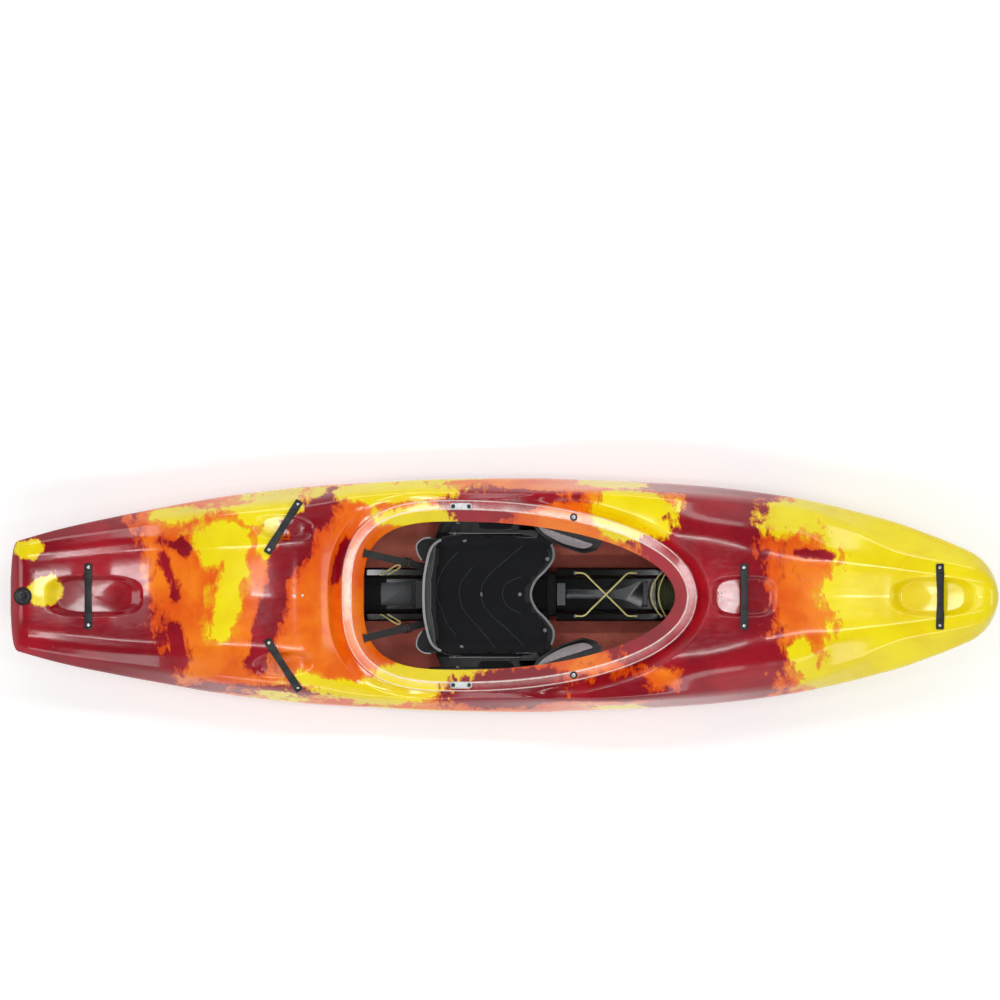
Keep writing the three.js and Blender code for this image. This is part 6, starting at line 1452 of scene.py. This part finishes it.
for side_name, side in SIDES:
    # Teeth every 4 mm along the strap's inner face
    teeth = [[x, y] for x in range(113, -52, -4) for y in (-0.3, -1.5)]
    outline = [[-150, 0.9], [-149.2, 1.5], [115.5, 1.5], [118, 0.7], [118, -0.1], *teeth,
               [-56, -0.3], [-60, -1.5], [-149.2, -1.5], [-150, -0.9]]
    basis = (X, side * Y, Z)
    strap = prism(outline, [[-10, 1], [10, 1]], [0, side * STRAP_Y, STRAP_Z], basis)
    piece(f"ladder_strap_{side_name}_teeth", strap, pale_plastic, "backband",
          f"ladder_strap_{side_name}", sharp=25)
    rivet = screw([-134, side * (STRAP_Y + 1.4), STRAP_Z], side * Y, 4.6, 1.5, 6, True)
    piece(f"strap_rivet_{side_name}", rivet, steel, "backband", sharp=38)

    cheek = rounded([[50, 0, 1.5], [97, 0, 2], [97, -8, 4], [93, -18, 4.5], [83, -18, 4],
                     [76, -11, 5], [58, -9, 4], [50, -6, 2.5]], 6)
    cheeks = [prism(cheek, [[low, 1], [low + 2.2, 1]], [0, side * WALL_Y, STRAP_Z], basis)
              for low in (-14, 11.8)]
    low_y, high_y = sorted([side * (WALL_Y - 2.2), side * WALL_Y])
    wall = block([50, low_y, STRAP_Z - 13.8], [97, high_y, STRAP_Z + 13.8], 0.5)
    pins = [turned([[0, -15], [2.6, -15], [3.3, -14.3], [3.3, -14], [2, -14], [2, 14], [3.3, 14],
                    [3.3, 14.3], [2.6, 15], [0, 15]], [PIN_X, side * PIN_Y, STRAP_Z], sides=24),
            turned([[0, -14.6], [1.5, -14.6], [1.5, 14.6], [0, 14.6]],
                   [57, side * 167.6, STRAP_Z], sides=16)]
    piece(f"ratchet_base_{side_name}_frame", carved(cheeks[0], plus=[cheeks[1], wall]),
          black_plastic, "seat", f"ratchet_base_{side_name}", sharp=34)
    piece(f"ratchet_pins_{side_name}", joined(pins), dark_steel, "seat", sharp=38)

    # The lever narrows and thins towards its ribbed end
    s = (1 - cos(pi * linspace(0, 1, 70))) / 2
    x = PIN_X - 1 - 57 * s
    inward = 1.0 + 1.2 * sin(pi * s) + 2.6 * ease((s - 0.8) / 0.2)
    path = stack([x, side * (PIN_Y - inward), 0 * x + STRAP_Z], -1)
    end = quarter((1 - s) / 0.14, 0.02)
    wide = (1 - 0.18 * ease(s * 1.4)) * (0.45 + 0.55 * end)
    ribbed = 1 + 0.16 * cos(2 * pi * (x - 31) / 3.4) * ease((s - 0.72) / 0.1)
    thick = (1 - 0.25 * s) * (0.4 + 0.6 * end) * ribbed
    arm = swept(path, bar_outline(22.8, 4.4, 1.6), Z, stack([wide, thick], -1))
    barrel = turned([[0, -11.4], [3.6, -11.4], [4.4, -10.8], [4.4, 10.8], [3.6, 11.4], [0, 11.4]],
                    [PIN_X, side * PIN_Y, STRAP_Z], sides=40,
                    bumps=lambda angle, height: 0.35 * cos(10 * angle) * (abs(height) < 11))
    piece(f"ratchet_lever_{side_name}_handle", carved(barrel, plus=[arm]), dark_plastic,
          f"lever_{side_name}", f"ratchet_lever_{side_name}", sharp=36)

BUCKLE_LENGTH = 26
BUCKLE_WIDTH = 27
WEBBING = bar_outline(20, 1.6, 0.7, 4)


def lay_webbing(name, node, path, over):
    """Webbing that rides on no body, its place baked into its mesh."""
    made = piece(name, swept(path, WEBBING, over), webbing_fabric, None, node, sharp=60)
    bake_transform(made)


for side_name, side in SIDES:
    start, end, ahead, over = webbing_way(side)
    lift = 1.6
    on = lambda forward, high: start + forward * ahead + high * Z
    brink = on(WEBBING_SLOT_OUT * 1.1, -BAND_DROP * 0.33 + lift)
    bend = brink + lift * 2 * ahead - lift * Z
    way = unit(end - bend)
    normal = np.cross(way, over)
    normal *= np.sign(normal[2])
    centre = mix(bend, end, 0.66)
    split = mix(bend, centre, 0.5)
    rear = through([on(0, -2 * FLANGE), on(0, -lift * 2), on(0.1, -lift * 0.7),
                    on(lift * 0.6, lift * 0.7), on(lift * 2, lift * 0.8), brink, bend,
                    mix(bend, split, 0.4), split], 70)
    lay_webbing(f"webbing_{side_name}_rear", f"webbing_{side_name}", rear, over)
    # Over the buckle's front bar, round its middle bar, and back over the top as a free tail
    middle = centre - 4.1 * normal
    spot = lambda forward, high: middle + forward * way + high * normal
    front = through([split - 2 * way, split + 4 * way, mix(split, centre, 0.6), *(
        spot(*at) for at in ((-10, 4.4), (-5.4, 3.2), (-3.4, 0.4), (-1.6, -3.2), (1.4, -3.4),
                             (3.4, 0.2), (3.0, 4.2), (-1, 6.4), (-9, 6.8), (-20, 7.4),
                             (-33, 6.2), (-43, 5.6)))], 130)
    lay_webbing(f"webbing_{side_name}_front", f"webbing_{side_name}", front, over)

    basis = (way, over, normal)
    buckle = prism(bar_outline(BUCKLE_LENGTH, BUCKLE_WIDTH, 3.2),
                   [[-2.5, 0.92], [-1.8, 1], [1.8, 1], [2.5, 0.92]], middle, basis)
    windows = [prism(bar_outline(7.2, 20.6, 1.2), [[-4, 1], [4, 1]], spot(x, 0), basis)
               for x in (5.6, -5.6)]
    ridges = [prism(bar_outline(1.1, 18, 0.5), [[2, 1], [3.1, 0.9]], spot(x, 0), basis)
              for x in (-11.6, -10)]
    piece(f"buckle_{side_name}_frame", carved(buckle, windows, ridges), black_plastic,
          "backband", f"buckle_{side_name}", sharp=36)
    # The strap that holds the buckle: from its front bar to the band's back, and sewn down it
    run = linspace(10, 70, 121)[:, None] * way + middle
    stop = run[np.argmax(run[:, 0] >= np.interp(run[:, 1], *BACK_LINE.T[::-1]) - 3.1)]
    path = through([spot(12.6, -2.9), spot(9.6, -0.2), spot(11.4, 3.2), spot(15, 2.6),
                    mix(spot(15, 1.6), stop, 0.6), stop + [-1.4, 0, -1.5],
                    stop + [-0.4, 0, -8], stop + [-0.4, 0, -34]], 90)
    piece(f"buckle_strap_{side_name}", swept(path, WEBBING, over), webbing_fabric, "backband",
          sharp=60)


# --- thigh braces ---

BRACE_SHELL = 5
BRACE_REACH = 46
reach_at = curve_through([[0, 50], [200, 550], [500, 920], [750, 1000], [920, 700], [1000, 300]])


def brace_place(u, v, side, drop=0.0):
    """The brace: level with the rim's underside at its outer edge, sloping in under the band, and
    hooking down by a square law past the cockpit's edge."""
    turn = edge_turn(mix(84, 272, u))
    out = mix(STEM_AT - 4.5 - 1.8 * u, -BRACE_REACH * reach_at(u), v)
    x, y = coaming_place(turn, out)
    level = rim_height(coaming_place(turn, BRACE_BOLT[1])[0])
    under = clip(1 - out / (BAND_WIDTH + GROOVE), 0, 1)
    fall = (LIP_EDGE + 3 * GAP + under * (BAND_DROP + FLANGE - LIP_EDGE + 5)
            + clip(-out / BRACE_REACH, 0, 1) ** 2 * 40)
    return stack([x, side * y, level - fall - drop], -1)


for side_name, side in SIDES:
    body = f"brace_{side_name}"
    u, v = grid((0, 1, 81), (0, 1, 61))
    # Its edges are worn round, over the first 1/45 of its width
    worn = 1.2 * (1 - quarter(minimum(1 - v, minimum(u, 1 - u)) * 45))
    sheet = slab(brace_place(u, v, side, worn), brace_place(u, v, side, BRACE_SHELL - worn))
    place, *basis = rim_frame(*BRACE_BOLT, side)
    slot = prism(stadium(46.2, 6.2), [[-24, 1], [0, 1]], place, basis)
    u = linspace(0.03, 0.97, 70)
    bead = tube(brace_place(u, 0.985, side, 2.6), 3.2, 14)
    piece(f"thigh_{body}_shell", carved(sheet, [slot], [bead]), black_plastic, body,
          f"thigh_{body}", sharp=40)

    u, v = grid((0.2, 0.95, 60), (0.5, 0.92, 30))
    face = brace_place(u, v, side, BRACE_SHELL + 0.5)
    swell = mix(4, 11, ease(inset(u, 0.2, 0.95, v, 0.5, 0.92) * 6))
    under = brace_place(u, v, side, BRACE_SHELL + 0.5 + swell)
    pad(f"thigh_pad_{side_name}_cover", plumped(slab(face, under), 4.2, 4, face.reshape(-1, 3)),
        pad_fabric, body, f"thigh_pad_{side_name}")

    # A pale cover on the brace's hook, narrowing to both ends, with a stitched hem
    s, w = grid((0, 1, 80), (-1, 1, 25))
    belly = sqrt(clip(1 - abs(2 * s - 1) ** 3.2, 0.002, 1))
    u, v = mix(0.05, 0.88, s), 0.765 + 0.135 * w * belly
    crown = (1 - w**4) * belly
    hem = 0.9 * exp(-(((abs(w) - 0.8) / 0.07) ** 2))
    cover = slab(brace_place(u, v, side, -(0.7 + 1.9 * crown - hem * crown)),
                 brace_place(u, v, side, 0.6))
    piece(f"brace_cover_{side_name}", cover, pale_fabric, body, sharp=60)


# --- footrest, pillars and plain parts ---

FOOTREST_X = LENGTH * 0.2667
# Half of its outline, each [share of the half width, share of the height], shrunk for the pad
half_plate = array([[0.42, 0], [0.72, 0.12], [1, 0.33], [1, 0.66], [0.92, 0.86], [0.6, 0.97]])
half_plate = (half_plate - [0, 0.5]) * [BEAM * 0.3148 * 0.87, 190 * 0.87]
outline = rounded([[*p, 9] for p in concatenate([half_plate, half_plate[::-1] * [-1, 1]])], 6)
t = linspace(0, 1, 8)
levels = stack([0.6 + 11.5 * t, 1 - 0.07 * (1 - sqrt(1 - 0.96 * t * t))], -1)
y, z = np.meshgrid(linspace(-178, 178, 60), linspace(98, 264, 30))
rest = stack([np.full(y.size, FOOTREST_X - 0.4), y.ravel(), z.ravel()], -1)
form = prism(outline, levels, [FOOTREST_X, 0, 181], (Y, Z, -X))
pad("footrest_pad_cover", plumped(form, 6, 4, rest), pad_fabric, "footrest", "footrest_pad")

# The pillars' tops stay 1 mm under the shell, and 10 mm near its ends, and their edges are worn
for name in ("bow_pillar", "stern_pillar"):
    mesh = nodes[name].data.copy()
    work = bmesh.new()
    work.from_mesh(mesh)
    bmesh.ops.remove_doubles(work, verts=work.verts, dist=0.05 * MM)
    bmesh.ops.recalc_face_normals(work, faces=work.faces)
    work.to_mesh(mesh)
    work.free()
    mesh.shade_smooth()
    places = points_of(mesh)
    x, _, z = places.T
    from_end = minimum(x - x.min(), x.max() - x)
    places[:, 2] -= (z > z.mean()) * (1 + 9 * ease(1.5 - from_end / (40 * MM))) * MM
    mesh.vertices.foreach_set("co", places.ravel())
    made = piece(f"{name}_foam", mesh, foam, "hull", name)
    worn = made.modifiers.new("worn edges", "BEVEL")
    worn.width, worn.segments, worn.angle_limit = 2.5 * MM, 2, 0.7

for material, names in (
        (tray_plastic, "front_tray rear_tray"),
        (black_plastic, "seat_pan seat_hanger_port seat_hanger_starboard footrest_plate"),
        (steel, "seat_bolt_port seat_bolt_starboard rail_bolt_port_1 rail_bolt_port_2 "
                "rail_bolt_starboard_1 rail_bolt_starboard_2"),
        (aluminium, "footrest_rail_port footrest_rail_starboard")):
    for name in names.split():
        nodes[name].material_slots[0].material = material


# --- camera, floor and light ---

# The photograph looks straight down: 2.7565 mm to a pixel, with the boat's middle at this pixel
PIXEL = 2.7565
PICTURE = 1000
PICTURE_MIDDLE = [503.25, 595.5]
GUNWALE = 250
CAMERA_HEIGHT = 14000
SENSOR = 36
# Two narrow strips and two wide soft lights along the boat, and small ones over its decks and
# beyond its ends: name, place and size in metres, and power in watts
LAMPS = [
    ("strip_port", (0, 1.1, 3.4), (3.4, 0.14), 21),
    ("strip_starboard", (0, -1.1, 3.4), (3.4, 0.14), 19),
    ("side_port", (0, 3.2, 2.4), (3.8, 0.8), 30),
    ("side_starboard", (0, -3.2, 2.4), (3.8, 0.8), 26),
    ("overhead_stern", (-0.9, 0.05, 4.6), (0.26, 0.9), 12),
    ("overhead_bow", (0.96, -0.05, 4.6), (0.24, 0.7), 11),
    ("stern_light", (-3.6, 0.2, 2.6), (0.9, 1.2), 10),
    ("bow_light", (3.8, -0.2, 2.6), (0.9, 1.2), 8),
]


def make_camera():
    """A straight-down camera with a long lens."""
    lens = bpy.data.cameras.new("camera")
    lens.sensor_width = SENSOR
    lens.lens = SENSOR * (CAMERA_HEIGHT - GUNWALE) / (PIXEL * PICTURE)
    lens.clip_end = 100
    camera = placed("camera", lens)
    across, down = (array(PICTURE_MIDDLE) - PICTURE / 2) * PIXEL
    camera.location = array([-across, down, CAMERA_HEIGHT]) * MM
    bpy.context.scene.camera = camera


def make_floor():
    """A pale sheet. The camera and reflections see it lit through from below as well."""
    y, x = grid((-9000, 9000, 7), (-9000, 9000, 7))
    mesh = mesh_of(stack([x, y, 0 * x - 0.5], -1))
    material = new_material("matt white paper", "F0F0F0", 0.9, Specular_IOR_Level=0.1,
                            Emission_Color=linear("FFFFFF"))
    tree = material.node_tree
    seen = add(tree, "Math MAXIMUM", [add(tree, "LightPath", out="Is Camera Ray"),
                                      add(tree, "LightPath", out="Is Glossy Ray")])
    tree.links.new(add(tree, "Math MULTIPLY", [seen, 0.3]),
                   tree.nodes["Principled BSDF"].inputs["Emission Strength"])
    mesh.materials.append(material)
    placed("floor", mesh)


def make_lamps():
    for name, place, size, power in LAMPS:
        lamp = bpy.data.lights.new(name, "AREA")
        lamp.shape = "RECTANGLE"
        lamp.size, lamp.size_y = size
        lamp.energy = power
        made = placed(name, lamp)
        made.location = place
        aim = Vector((0, 0, 0.2)) - made.location
        made.rotation_euler = aim.to_track_quat("-Z", "Y").to_euler()


def make_world():
    """White walls and a dark ceiling for reflections, all white for the camera."""
    world = bpy.data.worlds.new("studio")
    bpy.context.scene.world = world
    world.use_nodes = True
    tree = world.node_tree
    tree.nodes.clear()
    aim = add(tree, "SeparateXYZ", [add(tree, "NewGeometry", out="Incoming")], "Z")
    ceiling = add(tree, "MapRange SMOOTHSTEP",
                  [add(tree, "Math ABSOLUTE", [aim]), 0.15, 0.75, 0.9, 0.1])
    glossy = add(tree, "Math MULTIPLY", [add(tree, "LightPath", out="Is Glossy Ray"),
                                         add(tree, "Math SUBTRACT", [ceiling, 0.4])])
    strength = add(tree, "Math MAXIMUM", [add(tree, "Math ADD", [glossy, 0.4]),
                                          add(tree, "LightPath", out="Is Camera Ray")])
    sky = add(tree, "Background", {"Color": "FFFFFF", "Strength": strength})
    add(tree, "OutputWorld", {"Surface": sky})
    bpy.context.scene.view_settings.view_transform = "Standard"


make_camera()
make_floor()
make_lamps()
make_world()
